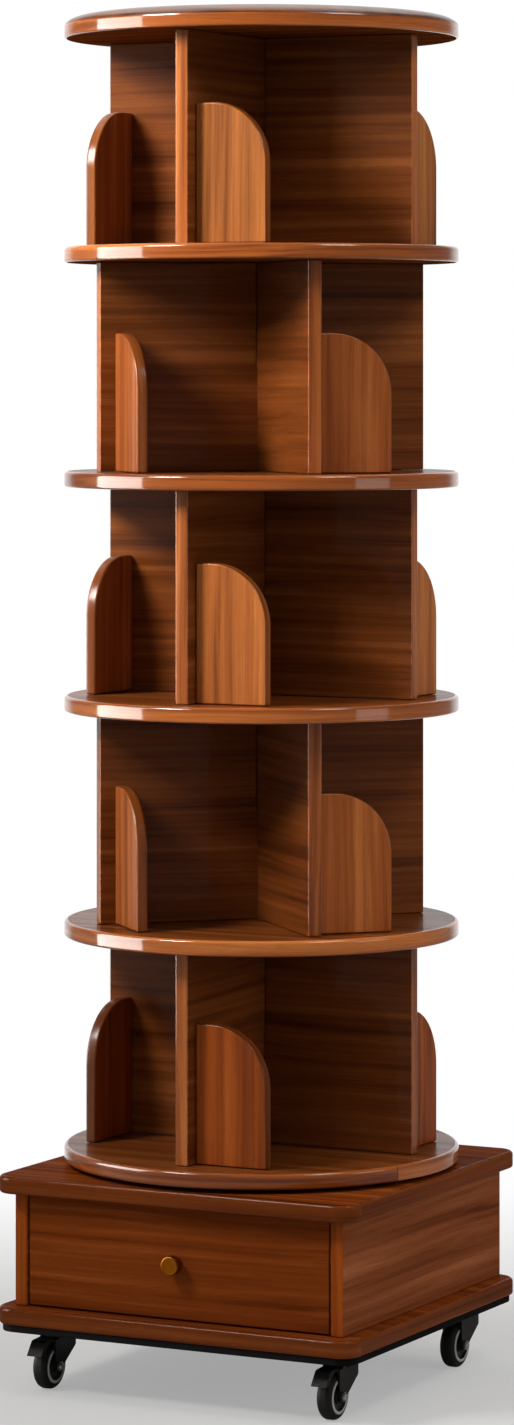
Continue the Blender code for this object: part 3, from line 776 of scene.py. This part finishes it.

# Panel faces and shelf tops darkened to two thirds: painted shade for the shade inside the tiers
panel_wood_painted_shade = lacquered("walnut_panel", stain_and_light_tones(FACE_TONES, 0.66, 0.66, 0.66), coat=0.22)
under_wood = lacquered("walnut_underside", stain_and_light_tones(FACE_TONES, 0.80, 0.80, 0.80), coat=0.0, gloss=0.0)
# Lit and shaded copies of one stop wood, one for each tier: painted light and shade
stop_woods_lit_per_tier = [
    lacquered(f"walnut_stop_{tier}", stain_and_light_tones(FACE_TONES, *shares), coat=0.18, contrast=0.9)
    for tier, shares in enumerate(STOP_LIGHT_SHARES)
]
# The stops' edge bands darkened: painted shade for the weak light on the edges that face right
stop_band_painted_shade = lacquered(
    "walnut_stop_band", stain_and_light_tones(BAND_TONES, 0.60, 0.56, 0.50), coat=0.6, contrast=1.1, satin=0.22
)
# The base's wood darker and redder than the carousel's: painted shade for the dimmer light low down
base_wood_painted_shade = lacquered("walnut_base", stain_and_light_tones(FACE_TONES, 0.79, 0.65, 0.58), coat=0.03, gloss=0.0)
# The cabinet sides paler and greyer than the base's front: painted light and sheen for the whiter light on
# the sides
side_wood_painted_sheen = lacquered("walnut_side", stain_and_light_tones(FACE_TONES, 0.89, 0.95, 1.55), coat=0.07, gloss=0.0)
stile_band = lacquered(
    "walnut_stile", stain_and_light_tones(FACE_TONES, 1.12, 0.90, 0.66), coat=0.06, contrast=0.8, gloss=0.0
)
band = lacquered("walnut_band", stain_and_light_tones(BAND_TONES, 1.15, 1.15, 1.15), coat=0.8, contrast=1.1)
rim_band = lacquered(
    "walnut_rim_band", stain_and_light_tones(BAND_TONES, 1.12, 1.06, 0.88), coat=1.0, contrast=1.4, seam=RIM_LENGTH
)
top_wood = lacquered("walnut_top", stain_and_light_tones(FACE_TONES, 0.45, 0.46, 0.50), coat=1.0, satin=0.3)
# The base boards' edge bands darkened: painted shade for the dimmer light low down
base_band_painted_shade = lacquered("walnut_base_band", stain_and_light_tones(BAND_TONES, 0.50, 0.41, 0.34), coat=0.22, gloss=0.0)
box_wood = plain_wood("drawer_box_wood", BOX_TONES, roughness_shift=0.18)
black_board = plain_wood("black_stain", BLACK_TONES, roughness_shift=0.3, gloss=0.05)
# Brass far darker than real brass: painted shade for the dim surroundings that the knob mirrors
brass_painted_shade = brushed_metal(
    "aged_brass", (0.19, 0.052, 0.002), (0.33, 0.104, 0.006), roughness=0.36, lathe_axis="Y"
)
ring_steel = brushed_metal(
    "turntable_steel", (0.34, 0.34, 0.34), (0.5, 0.5, 0.5), roughness=0.38, lathe_axis="Z"
)
ring_plastic = speckled(
    "turntable_plastic", (0.014, 0.014, 0.014), (0.03, 0.03, 0.03),
    roughness=0.5, grain_size=700.0, depth=0.00005,
)
fork_paint = speckled(
    "fork_paint", (0.006, 0.005, 0.005), (0.013, 0.011, 0.011),
    roughness=0.36, grain_size=1100.0, depth=0.00005, specular=0.10, coat=0.03,
)
tyre_rubber = speckled(
    "tyre_rubber", (0.006, 0.006, 0.006), (0.015, 0.014, 0.013),
    roughness=0.55, grain_size=1500.0, depth=0.00008, specular=0.15,
)
hub_plastic = speckled(
    "hub_plastic", (0.010, 0.010, 0.010), (0.02, 0.02, 0.02),
    roughness=0.42, grain_size=900.0, depth=0.00004,
)
hub_ring = speckled(
    "hub_ring", (0.36, 0.34, 0.33), (0.52, 0.50, 0.47), roughness=0.4, grain_size=800.0, depth=0.00004
)
lever_plastic = speckled(
    "pedal_plastic", (0.006, 0.006, 0.005), (0.014, 0.013, 0.012),
    roughness=0.42, grain_size=1300.0, depth=0.00007, specular=0.08,
)
zinc = speckled(
    "zinc_plate", (0.32, 0.31, 0.30), (0.52, 0.51, 0.49),
    roughness=0.32, grain_size=600.0, depth=0.00003, metallic=1.0,
)


# Carousel: round boards


def widen_rounding(disc, radius, top, rise, width):
    """Draws a quarter-round upper rim inward, until it is wider than it is high."""
    levels = sorted({round(v.co.z, 6) for v in disc.data.vertices if v.co.z > top - rise + NEAR})
    for level in levels:
        across = math.sqrt(max(0.0, 1.0 - ((level - top + rise) / rise) ** 2))
        scale = (radius - width + width * across) / (radius - rise + rise * across)
        pick(disc, "EDGE", lambda m, d: abs(m.z - level) < NEAR and square_to(d, "z"))
        bpy.ops.transform.resize(value=(scale, scale, 1.0), center_override=(0.0, 0.0, level))
        done()


def round_board(name, node, rise, width, seam_turn, segments):
    """A round board with its rounded rim and its edge band, which ends low on a wide rounding."""
    low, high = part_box(node)
    radius = high.x
    band_top = high.z - rise + TOP_BAND_RISE if width > rise else high.z
    disc = turn_blank(name, radius, high.z - low.z, (low + high) / 2, DISC_SIDES)
    round_rims(disc, low, high, rise, SHELF_LOW_ROUND, upper_segments=segments)
    if width > rise:
        widen_rounding(disc, radius, high.z, rise, width)
    step = 2 * math.pi / DISC_SIDES
    seam = round(seam_turn / step) * step

    def banded(middle, normal):
        return abs(normal.z) < FLAT and middle.z < band_top

    def run(spot, face):
        if banded(face.center, face.normal):
            middle = (math.atan2(face.center.y, face.center.x) - seam) % (2 * math.pi)
            turn = (math.atan2(spot.y, spot.x) - seam - middle + math.pi) % (2 * math.pi) - math.pi
            return Vector((radius * (middle + turn), spot.z, radius - math.hypot(spot.x, spot.y)))
        return Vector((spot.x, spot.y, spot.z))

    lay_grain(disc, run)
    band_faces(disc, banded)
    band_faces(disc, lambda m, n: n.z < -FLAT, 2)
    shade(disc)
    return disc


for tier, seam_turn in enumerate(SHELF_SEAMS, 1):
    name, node = f"shelf_board_{tier}", f"shelf_{tier}"
    shelf = round_board(name, node, SHELF_TOP_ROUND, SHELF_TOP_ROUND, seam_turn, segments=5)
    finish_piece(shelf, [panel_wood_painted_shade, rim_band, under_wood], "carousel", "lacquered_wood", node)
top = round_board("top_board", "top_disc", TOP_ROUND_RISE, TOP_ROUND_WIDTH, TOP_SEAM, segments=12)
finish_piece(top, [top_wood, rim_band, under_wood], "carousel", "lacquered_wood", "top_disc")


# Carousel: crossed walls and arched stops


def cross_wall(name, node, axis, slot_up):
    """One of the two halved boards of a cross."""
    low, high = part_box(node)
    wall = saw_board(name, low, high)
    middle = (low.z + high.z) / 2
    half = WALL_SLOT / 2
    slot_low = (-half, -half, middle if slot_up else low.z - OVERSHOOT)
    slot_high = (half, half, high.z + OVERSHOOT if slot_up else middle)
    cut_with(wall, saw_board("slot", slot_low, slot_high))
    break_edges(wall, WALL_EDGE, segments=3)
    across = "Y" if axis == "X" else "X"
    lay_grain(wall, board_run(axis, "Z", across))
    end = 0 if axis == "X" else 1
    band_faces(wall, lambda m, n: abs(n[end]) > STILE_FROM and abs(m[end]) > WALL_END_FROM)
    shade(wall)
    return wall


def arched_stop(name, node):
    """The stop across the wall arm that points along +X."""
    low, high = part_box(node)
    stop = saw_board(name, low, high)

    def outer_corner(m, d):
        return m.y > high.y - NEAR and m.z > high.z - NEAR and along(d, "x")

    round_edges(stop, outer_corner, STOP_ARCH, segments=20)
    break_edges(stop, STOP_ROUND, segments=3, angle=50.0)
    centre_y = high.y - STOP_ARCH
    centre_z = high.z - STOP_ARCH

    def run(spot, face):
        if abs(face.normal.x) > BAND_GRAIN:
            return Vector((spot.z, spot.y, spot.x))
        if spot.z < centre_z:
            length = spot.z - centre_z
        elif spot.y > centre_y:
            length = STOP_ARCH * math.atan2(spot.z - centre_z, spot.y - centre_y)
        else:
            length = STOP_ARCH * math.pi / 2 + centre_y - spot.y
        return Vector((length, spot.x, STOP_BAND_DEPTH))

    lay_grain(stop, run)
    band_faces(stop, lambda m, n: not along(n, "x"))
    shade(stop)
    return stop


wall_a = cross_wall("cross_1_a", "tier_1_wall_a", "X", True)
wall_b = cross_wall("cross_1_b", "tier_1_wall_b", "Y", False)
stop = arched_stop("stop_1_1", "tier_1_stop_1")
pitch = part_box("shelf_2")[0].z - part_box("shelf_1")[0].z
walls_and_stops = []
for tier in range(1, TIERS + 1):
    lift = (0.0, 0.0, (tier - 1) * pitch)
    turn = EVEN_TIER_TURN if tier % 2 == 0 else 0.0
    for letter, master in (("a", wall_a), ("b", wall_b)):
        wall = master if tier == 1 else copy_of(master, f"cross_{tier}_{letter}", turn, lift)
        walls_and_stops.append((wall, [panel_wood_painted_shade, band], f"tier_{tier}_wall_{letter}"))
    for arm in range(ARMS):
        if tier == 1 and arm == 0:
            panel = stop
        else:
            panel = copy_of(stop, f"stop_{tier}_{arm + 1}", turn + arm * 2 * math.pi / ARMS, lift)
        walls_and_stops.append((panel, [stop_woods_lit_per_tier[tier - 1], stop_band_painted_shade], f"tier_{tier}_stop_{arm + 1}"))
for panel, woods, node in walls_and_stops:
    next_plank(panel)
    finish_piece(panel, woods, "carousel", "lacquered_wood", node)


# Base cabinet


def dress_board(board, edge, run, materials, body, slot, node, segments=2, banded=None):
    """Breaks a board's edges, lays its grain and its edge bands, and finishes it."""
    break_edges(board, edge, segments)
    lay_grain(board, run)
    if banded:
        band_faces(board, banded)
    shade(board)
    next_plank(board)
    finish_piece(board, materials, body, slot, node)


def base_board(name, node):
    """A square board with rounded corners and a rounded rim."""
    low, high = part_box(node)
    board = saw_board(name, low, high)
    round_edges(board, lambda m, d: along(d, "z"), BASE_CORNER, segments=12)
    round_rims(board, low, high, BASE_TOP_ROUND, BASE_LOW_ROUND, upper_segments=5)
    centre = (low + high) / 2
    half_x = (high.x - low.x) / 2 - BASE_CORNER
    half_y = (high.y - low.y) / 2 - BASE_CORNER

    def rim_length(spot, facing):
        """How far along the rim a point is, counted from where the right side crosses the X axis."""
        x = min(max(spot.x - centre.x, -half_x), half_x)
        y = min(max(spot.y - centre.y, -half_y), half_y)
        angle = facing % (2 * math.pi)
        side = math.ceil(angle / (math.pi / 2) - 0.5)
        walked = side * (half_x + half_y) + (y, -x, -y, x, y)[side]
        return centre.y + walked + BASE_CORNER * angle

    def run(spot, face):
        if abs(face.normal.z) < BAND_GRAIN:
            facing = math.atan2(face.normal.y, face.normal.x)
            return Vector((rim_length(spot, facing), spot.z, BASE_BAND_DEPTH))
        return Vector((spot.x, spot.y, spot.z))

    lay_grain(board, run)
    band_faces(board, lambda m, n: abs(n.z) < FLAT)
    shade(board)
    return board


for name, node in (("cabinet_top", "base_top_board"), ("cabinet_floor", "base_floor_board")):
    board = base_board(name, node)
    next_plank(board)
    finish_piece(board, [base_wood_painted_shade, base_band_painted_shade], "base", "lacquered_wood", node)


def front_or_back(middle, normal):
    """Whether a face of a cabinet side belongs to one of its upright edges."""
    return abs(normal.y) > STILE_FROM


upright_run = board_run("X", "Z", "Y")
side_run = board_run("Y", "Z", "X")
level_run = board_run("X", "Y", "Z")
for hand in ("left", "right"):
    node = f"base_side_{hand}"
    board = saw_board(f"cabinet_side_{hand}", *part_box(node))
    woods = [side_wood_painted_sheen, stile_band]
    dress_board(
        board, SIDE_EDGE, side_run, woods, "base", "lacquered_wood", node, segments=3, banded=front_or_back
    )

back = saw_board("cabinet_back", *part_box("base_back"))
dress_board(back, BROKEN_EDGE, upright_run, [base_wood_painted_shade], "base", "lacquered_wood", "base_back")

under = saw_board("under_board", *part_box("base_underboard"))
round_edges(under, lambda m, d: along(d, "z"), BASE_CORNER - UNDER_INSET, segments=10)
dress_board(
    under, UNDER_EDGE, level_run, [black_board], "base", "black_board", "base_underboard", segments=3
)


# Drawer

front = saw_board("drawer_face", *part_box("drawer_front"))
dress_board(
    front, WALL_EDGE, upright_run, [base_wood_painted_shade], "drawer", "lacquered_wood", "drawer_front", segments=3
)

groove_low, groove_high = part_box("drawer_bottom")
for hand in ("left", "right"):
    node = f"drawer_side_{hand}"
    low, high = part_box(node)
    side = saw_board(f"drawer_{hand}", low, high)
    round_edges(side, lambda m, d: m.z > high.z - NEAR and along(d, "y"), DRAWER_SIDE_ROUND, segments=4)
    cutter_low = groove_low - Vector((GROOVE_PLAY, 0.0, GROOVE_PLAY))
    cutter_high = groove_high + Vector((GROOVE_PLAY, 0.0, GROOVE_PLAY))
    cutter_low.y = low.y - OVERSHOOT
    cutter_high.y = high.y + OVERSHOOT
    cut_with(side, saw_board("groove", cutter_low, cutter_high))
    dress_board(side, DRAWER_BOX_EDGE, side_run, [box_wood], "drawer", "drawer_box_wood", node)

box_boards = (("drawer_rear", "drawer_back", upright_run), ("drawer_floor", "drawer_bottom", level_run))
for name, node, run in box_boards:
    board = saw_board(name, *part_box(node))
    dress_board(board, DRAWER_BOX_EDGE, run, [box_wood], "drawer", "drawer_box_wood", node)


def grow(size, from_size, centre):
    """Brings the picked round face to another radius."""
    scale = size / from_size
    bpy.ops.transform.resize(value=(scale, 1.0, scale), center_override=centre)


def turned_knob():
    """Foot, neck and a flat round head with a soft rim, turned along the drawer's way out."""
    low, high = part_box("drawer_knob")
    face_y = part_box("drawer_front")[0].y
    middle_z = (low.z + high.z) / 2
    foot_place = (0.0, face_y - KNOB_FOOT_DEPTH / 2, middle_z)
    knob = turn_blank("knob", KNOB_FOOT_RADIUS, KNOB_FOOT_DEPTH, foot_place, sides=56, axis="Y")
    reached = face_y - KNOB_FOOT_DEPTH
    pick(knob, "FACE", lambda m, n: n.y < -ALONG)
    bpy.ops.mesh.inset(thickness=KNOB_FOOT_RADIUS - KNOB_NECK_RADIUS, depth=0.0)
    radius = KNOB_NECK_RADIUS
    for advance, size in KNOB_STAGES:
        reached -= advance
        bpy.ops.mesh.extrude_region_move(TRANSFORM_OT_translate={"value": (0.0, -advance, 0.0)})
        grow(size, radius, (0.0, reached, middle_z))
        radius = size
    for width, rise in KNOB_STEPS:
        bpy.ops.mesh.inset(thickness=width, depth=rise)
    done()
    break_edges(knob, SMALL_EDGE, segments=2, angle=50.0)
    shade(knob, angle=40.0)
    return knob


finish_piece(turned_knob(), [brass_painted_shade], "drawer", "aged_brass", "drawer_knob")


# Castors, modelled once at the front left swivel and copied


def castor_point(x, y, z):
    """A place counted from the front left swivel's axis at the floor."""
    return Vector((x - SWIVEL_X, y + SWIVEL_FRONT_Y, z))


def wheel():
    """A round-shouldered tyre with a pale ring and a sunk hub on both faces."""
    centre = castor_point(0.0, -TRAIL, WHEEL_RADIUS)
    blank = turn_blank("wheel", WHEEL_RADIUS, WHEEL_WIDTH, centre, sides=72, axis="X")
    round_edges(blank, lambda m, d: square_to(d, "x"), TYRE_SHOULDER, segments=7)
    for side in (-1, 1):
        pick(blank, "FACE", lambda m, n: n.x * side > FLAT)
        for width, rise in WHEEL_STEPS:
            bpy.ops.mesh.inset(thickness=width, depth=rise)
        done()
    for face in blank.data.polygons:
        away = math.hypot(face.center.y - centre.y, face.center.z - centre.z)
        if away < HUB_RADIUS:
            face.material_index = 2
        elif away < RING_RADIUS:
            face.material_index = 1
    shade(blank, angle=35.0)
    return blank


def axle_nut(name, side):
    """A hexagon nut with a domed cap on one end of the axle."""
    start = FORK_OUTER + NUT_GAP
    nut_place = castor_point(side * (start + NUT_DEPTH / 2), -TRAIL, WHEEL_RADIUS)
    nut = turn_blank(name, NUT_RADIUS, NUT_DEPTH, nut_place, sides=6, axis="X")
    pick(nut, "FACE", lambda m, n: n.x * side > ALONG)
    bpy.ops.mesh.inset(thickness=NUT_CHAMFER, depth=NUT_CHAMFER_RISE)
    done()
    cap_place = castor_point(side * (start + CAP_MIDDLE), -TRAIL, WHEEL_RADIUS)
    cap = turn_blank("cap", CAP_RADIUS, CAP_DEPTH, cap_place, sides=32, axis="X")

    def outer_rim(m, d):
        return square_to(d, "x") and (m.x - cap_place.x) * side > 0

    round_edges(cap, outer_rim, CAP_ROUND, segments=5)
    cut_with(nut, cap, "UNION")
    break_edges(nut, SMALL_EDGE, segments=2, angle=50.0)
    shade(nut, angle=35.0)
    return nut


def swivel_fork(name, braked):
    """A pressed steel fork: two tapering cheeks, a crown and the swivel bearing above it."""
    bottom = WHEEL_RADIUS - EYE_RADIUS
    low = castor_point(-FORK_OUTER, -TRAIL - EYE_RADIUS, bottom)
    high = castor_point(FORK_OUTER, FORK_REAR, CROWN_TOP)
    fork = saw_board(name, low, high)
    leave = EYE_RADIUS * EYE_LEAVE
    slope_start = castor_point(0.0, -TRAIL + leave, WHEEL_RADIUS - leave)
    slope_end = castor_point(0.0, FORK_REAR, CROWN_TOP - REAR_DROP)
    slope = (slope_end - slope_start).normalized()
    pick(fork, "FACE", lambda m, n: True)
    bpy.ops.mesh.bisect(
        plane_co=slope_start, plane_no=(0.0, slope.z, -slope.y), use_fill=True, clear_outer=True
    )
    done()
    axle_y = castor_point(0.0, -TRAIL, 0.0).y

    def eye_edge(m, d):
        return along(d, "x") and m.z < bottom + NEAR

    def rear_edge(m, d):
        return along(d, "x") and m.z > CROWN_TOP - NEAR and m.y > SWIVEL_FRONT_Y

    round_edges(fork, lambda m, d: eye_edge(m, d) and m.y < axle_y, FORK_NOSE_ROUND, segments=8)
    round_edges(fork, lambda m, d: eye_edge(m, d) and m.y > axle_y, FORK_HEEL_ROUND, segments=4)
    round_edges(fork, lambda m, d: along(d, "y") and m.z > CROWN_TOP - NEAR, CROWN_SIDE_ROUND, segments=4)
    round_edges(fork, rear_edge, CROWN_REAR_ROUND, segments=5)
    under_low = castor_point(-FORK_INNER, -TRAIL - 2 * OVERSHOOT, 0.0)
    inside_high = castor_point(FORK_INNER, FORK_REAR + OVERSHOOT, CROWN_UNDER)
    mouth_high = castor_point(FORK_INNER, CROWN_FRONT, CROWN_TOP + OVERSHOOT)
    cut_with(fork, saw_board("inside", under_low, inside_high))
    cut_with(fork, saw_board("mouth", under_low, mouth_high))
    if braked:
        for side in (-1, 1):
            place = castor_point(side * (FORK_INNER + FORK_OUTER) / 2, PIVOT_Y, PIVOT_Z)
            ear = turn_blank("ear", EAR_RADIUS, FORK_OUTER - FORK_INNER, place, sides=32, axis="X")
            cut_with(fork, ear, "UNION")
    neck_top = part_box("base_underboard")[0].z - NECK_GAP
    neck_low = CROWN_TOP - NECK_SINK
    neck_place = castor_point(0.0, 0.0, (neck_top + neck_low) / 2)
    neck = turn_blank("neck", NECK_RADIUS, neck_top - neck_low, neck_place, sides=48)
    flange_low = neck_low + FLANGE_LOW
    flange_high = neck_low + FLANGE_HIGH
    for height in (flange_low, flange_high):
        pick(neck, "FACE", lambda m, n: True)
        bpy.ops.mesh.bisect(plane_co=(0.0, 0.0, height), plane_no=(0.0, 0.0, 1.0))
        done()
    pick(neck, "FACE", lambda m, n: square_to(n, "z") and flange_low < m.z < flange_high)
    bpy.ops.mesh.extrude_region_shrink_fatten(TRANSFORM_OT_shrink_fatten={"value": -FLANGE_WIDTH})
    done()
    cut_with(fork, neck, "UNION")
    break_edges(fork, FORK_EDGE, segments=2, angle=35.0)
    shade(fork, angle=35.0)
    return fork


def brake_pedal(name):
    """A hood with a flat top and a lip to press on, hollowed round the wheel."""
    axle = castor_point(0.0, -TRAIL, WHEEL_RADIUS)

    def spot(radius, degrees):
        """A point of the pedal's side view, by its distance and its turn from the axle."""
        turn = math.radians(degrees)
        return axle + Vector((0.0, radius * math.cos(turn), radius * math.sin(turn)))

    rear = spot(PEDAL_OUTER, PEDAL_REAR_TURN)
    brow = spot(PEDAL_OUTER, PEDAL_BROW_TURN)
    corner = spot(PEDAL_CORNER_RADIUS, PEDAL_CORNER_TURN)
    tip = spot(PEDAL_TIP_RADIUS, PEDAL_TIP_TURN)
    heel = spot(PEDAL_INNER, PEDAL_HEEL_TURN)
    half = Vector((FORK_INNER - PEDAL_PLAY, 0.0, 0.0))
    low = Vector((axle.x, tip.y, heel.z))
    high = Vector((axle.x, rear.y, brow.z))
    pedal = saw_board(name, low - half, high + half)
    for height, goal in ((high.z, corner), (low.z, tip)):
        edge = Vector((axle.x, low.y, height))
        pick(pedal, "EDGE", lambda m, d: along(d, "x") and (m - edge).length < NEAR)
        bpy.ops.transform.translate(value=goal - edge)
        done()
    cut_with(pedal, turn_blank("hollow", PEDAL_INNER, HOLLOW_LENGTH, axle, sides=96, axis="X"))

    def corner_edge(m, d):
        return along(d, "x") and (m - corner).length < PEDAL_CORNER_REACH

    round_edges(pedal, corner_edge, PEDAL_CORNER_ROUND, segments=4)
    break_edges(pedal, PEDAL_EDGE, segments=3)
    shade(pedal, angle=40.0)
    return pedal


first_wheel = wheel()
nuts = [axle_nut("axle_nut_left", -1), axle_nut("axle_nut_right", 1)]
braked_fork = swivel_fork("fork_braked", True)
plain_fork = swivel_fork("fork_plain", False)
pedal = brake_pedal("pedal")
CASTORS = (
    ("front_left", -SWIVEL_X, SWIVEL_FRONT_Y, True),
    ("front_right", SWIVEL_X, SWIVEL_FRONT_Y, True),
    ("rear_left", -SWIVEL_X, SWIVEL_REAR_Y, False),
    ("rear_right", SWIVEL_X, SWIVEL_REAR_Y, False),
)
wheel_finishes = [tyre_rubber, hub_ring, hub_plastic]
for corner, x, y, braked in CASTORS:
    shift = (x + SWIVEL_X, y - SWIVEL_FRONT_Y, 0.0)
    tyre = copy_of(first_wheel, f"tyre_{corner}", shift=shift)
    finish_piece(tyre, wheel_finishes, f"wheel_{corner}", "castor_tyre", f"castor_wheel_{corner}")
    for nut, hand in zip(nuts, ("left", "right")):
        end = copy_of(nut, f"axle_end_{corner}_{hand}", shift=shift)
        finish_piece(end, [zinc], f"wheel_{corner}", "ring_steel")
    fork = copy_of(braked_fork if braked else plain_fork, f"swivel_{corner}_fork", shift=shift)
    finish_piece(fork, [fork_paint], f"swivel_{corner}", "fork_paint", f"castor_fork_{corner}")
    if braked:
        hood = copy_of(pedal, f"pedal_{corner}", shift=shift)
        finish_piece(hood, [lever_plastic], f"brake_{corner}", "black_lever", f"brake_lever_{corner}")
for master in [first_wheel, braked_fork, plain_fork, pedal, *nuts]:
    scrap(master)


# Turntable rings, shown in the shape that the CAD gave them

for node, material in (("turntable_lower_ring", ring_steel), ("turntable_upper_ring", ring_plastic)):
    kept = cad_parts[node]
    kept.data.materials.clear()
    kept.data.materials.append(material)


# Floor, light and camera


def backdrop_rays(tree, place):
    """One for rays that show the white background: the camera's, and mirrored ones behind the object."""
    path = add(tree, "ShaderNodeLightPath").outputs
    mirrored = math_node(tree, "MAXIMUM", path["Is Glossy Ray"], path["Is Transmission Ray"])
    facing = vector_node(tree, "NORMALIZE", place).outputs[0]
    view = (-math.sin(CAMERA_TURN), math.cos(CAMERA_TURN), 0.0)
    ahead = vector_node(tree, "DOT_PRODUCT", facing, view).outputs["Value"]
    behind = mapped(tree, ahead, BACKDROP_EDGE, BACKDROP_FULL, smooth=True)
    shown = math_node(tree, "MULTIPLY", mirrored, behind)
    return math_node(tree, "MAXIMUM", path["Is Camera Ray"], shown)


def show_white(tree, out, factor, plain, white):
    """Puts out a plain shader, mixed with a white one where the background is to show."""
    mix = add(tree, "ShaderNodeMixShader")
    feed_row(tree, mix.inputs, factor, plain.outputs[0], white.outputs[0])
    feed(tree, mix.outputs[0], out.inputs["Surface"])


def white_floor():
    """A pale floor that keeps the shadow near the object and fades to white away from it."""
    let_go()
    bpy.ops.mesh.primitive_plane_add(size=FLOOR_SIZE)
    floor = settle(bpy.context.object, "floor")
    material = bpy.data.materials.new("pale_floor")
    tree, out = empty_tree(material, "Material")
    matt = add(tree, "ShaderNodeBsdfDiffuse")
    feed(tree, (FLOOR_TONE, FLOOR_TONE, FLOOR_TONE, 1.0), matt.inputs["Color"])
    glow = add(tree, "ShaderNodeEmission")
    feed(tree, WHITE, glow.inputs["Color"])
    place = object_place(tree)
    distance = vector_node(tree, "LENGTH", place).outputs["Value"]
    far = mapped(tree, distance, FLOOR_FADE_START, FLOOR_FADE_END, FLOOR_FADE_LEAST, 1.0, smooth=True)
    seen = backdrop_rays(tree, place)
    show_white(tree, out, math_node(tree, "MULTIPLY", far, seen), matt, glow)
    floor.data.materials.append(material)
    floor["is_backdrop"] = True


def studio_world():
    """Even soft light all round, with a white background behind the object."""
    world = bpy.data.worlds.new("studio")
    bpy.context.scene.world = world
    tree, out = empty_tree(world, "World")
    soft = add(tree, "ShaderNodeBackground")
    mirrored = add(tree, "ShaderNodeLightPath").outputs["Is Glossy Ray"]
    level = mapped(tree, mirrored, 0.0, 1.0, WORLD_LEVEL, WORLD_LEVEL * WORLD_MIRRORED_SHARE)
    feed_named(tree, soft, {"Color": WORLD_TINT, "Strength": level})
    white = add(tree, "ShaderNodeBackground")
    feed(tree, WHITE, white.inputs["Color"])
    seen = backdrop_rays(tree, add(tree, "ShaderNodeTexCoord").outputs["Generated"])
    show_white(tree, out, seen, soft, white)


def softbox(name, turn, height, distance, size, power, aim, spread=180.0):
    """A soft lamp placed by its turn from the camera's side, positive to the camera's right."""
    light = bpy.data.lights.new(name, "AREA")
    light.shape = "RECTANGLE"
    light.size, light.size_y = size
    light.energy = power
    light.color = LAMP_TINT
    light.spread = math.radians(spread)
    lamp = bpy.data.objects.new(name, light)
    bpy.context.scene.collection.objects.link(lamp)
    angle = CAMERA_TURN + math.radians(turn)
    lamp.location = (math.sin(angle) * distance, -math.cos(angle) * distance, height)
    view = Vector((0.0, 0.0, aim)) - lamp.location
    lamp.rotation_euler = view.to_track_quat("-Z", "Y").to_euler()
    return lamp


def photo_camera():
    """The camera of the photograph, upright and shifted."""
    camera = bpy.data.cameras.new("photo_camera")
    camera.sensor_fit = "VERTICAL"
    camera.sensor_height = SENSOR_HEIGHT
    camera.lens = FOCAL_PIXELS / FRAME_HEIGHT * SENSOR_HEIGHT
    camera.shift_x = (FRAME_WIDTH / 2 - AXIS_PIXEL) / FRAME_HEIGHT
    camera.shift_y = (HORIZON_PIXEL - FRAME_HEIGHT / 2) / FRAME_HEIGHT
    eye = bpy.data.objects.new("photo_camera", camera)
    bpy.context.scene.collection.objects.link(eye)
    across = math.sin(CAMERA_TURN) * CAMERA_DISTANCE
    forward = math.cos(CAMERA_TURN) * CAMERA_DISTANCE
    eye.location = (across, -forward, CAMERA_HEIGHT)
    eye.rotation_euler = (math.pi / 2, 0.0, CAMERA_TURN)
    bpy.context.scene.camera = eye


white_floor()
studio_world()
softbox(
    "upper_left", turn=-60.0, height=2.2, distance=1.8, size=(0.7, 0.7), power=9.0, aim=1.15, spread=60.0
)
softbox(
    "upper_right", turn=50.0, height=2.6, distance=1.6, size=(0.7, 0.7), power=4.8, aim=1.3, spread=95.0
)
softbox(
    "low_right", turn=63.0, height=0.8, distance=1.6, size=(0.6, 0.6), power=0.6, aim=0.25, spread=80.0
)
rear_lamp = softbox(
    "behind", turn=180.0, height=2.2, distance=2.2, size=(1.0, 1.0), power=6.0, aim=0.9
)
rear_lamp.visible_glossy = False
# Cards that only show as sheen in the lacquer
left_card = softbox(
    "left_card", turn=-88.0, height=1.05, distance=2.3, size=(1.5, 1.9), power=105.0, aim=1.05
)
top_card = softbox(
    "top_card", turn=180.0, height=3.8, distance=0.8, size=(3.0, 3.0), power=50.0, aim=1.5
)
for card in (left_card, top_card):
    card.visible_diffuse = False
photo_camera()
bpy.context.scene.view_settings.view_transform = "Standard"

let_go()
low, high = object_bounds()
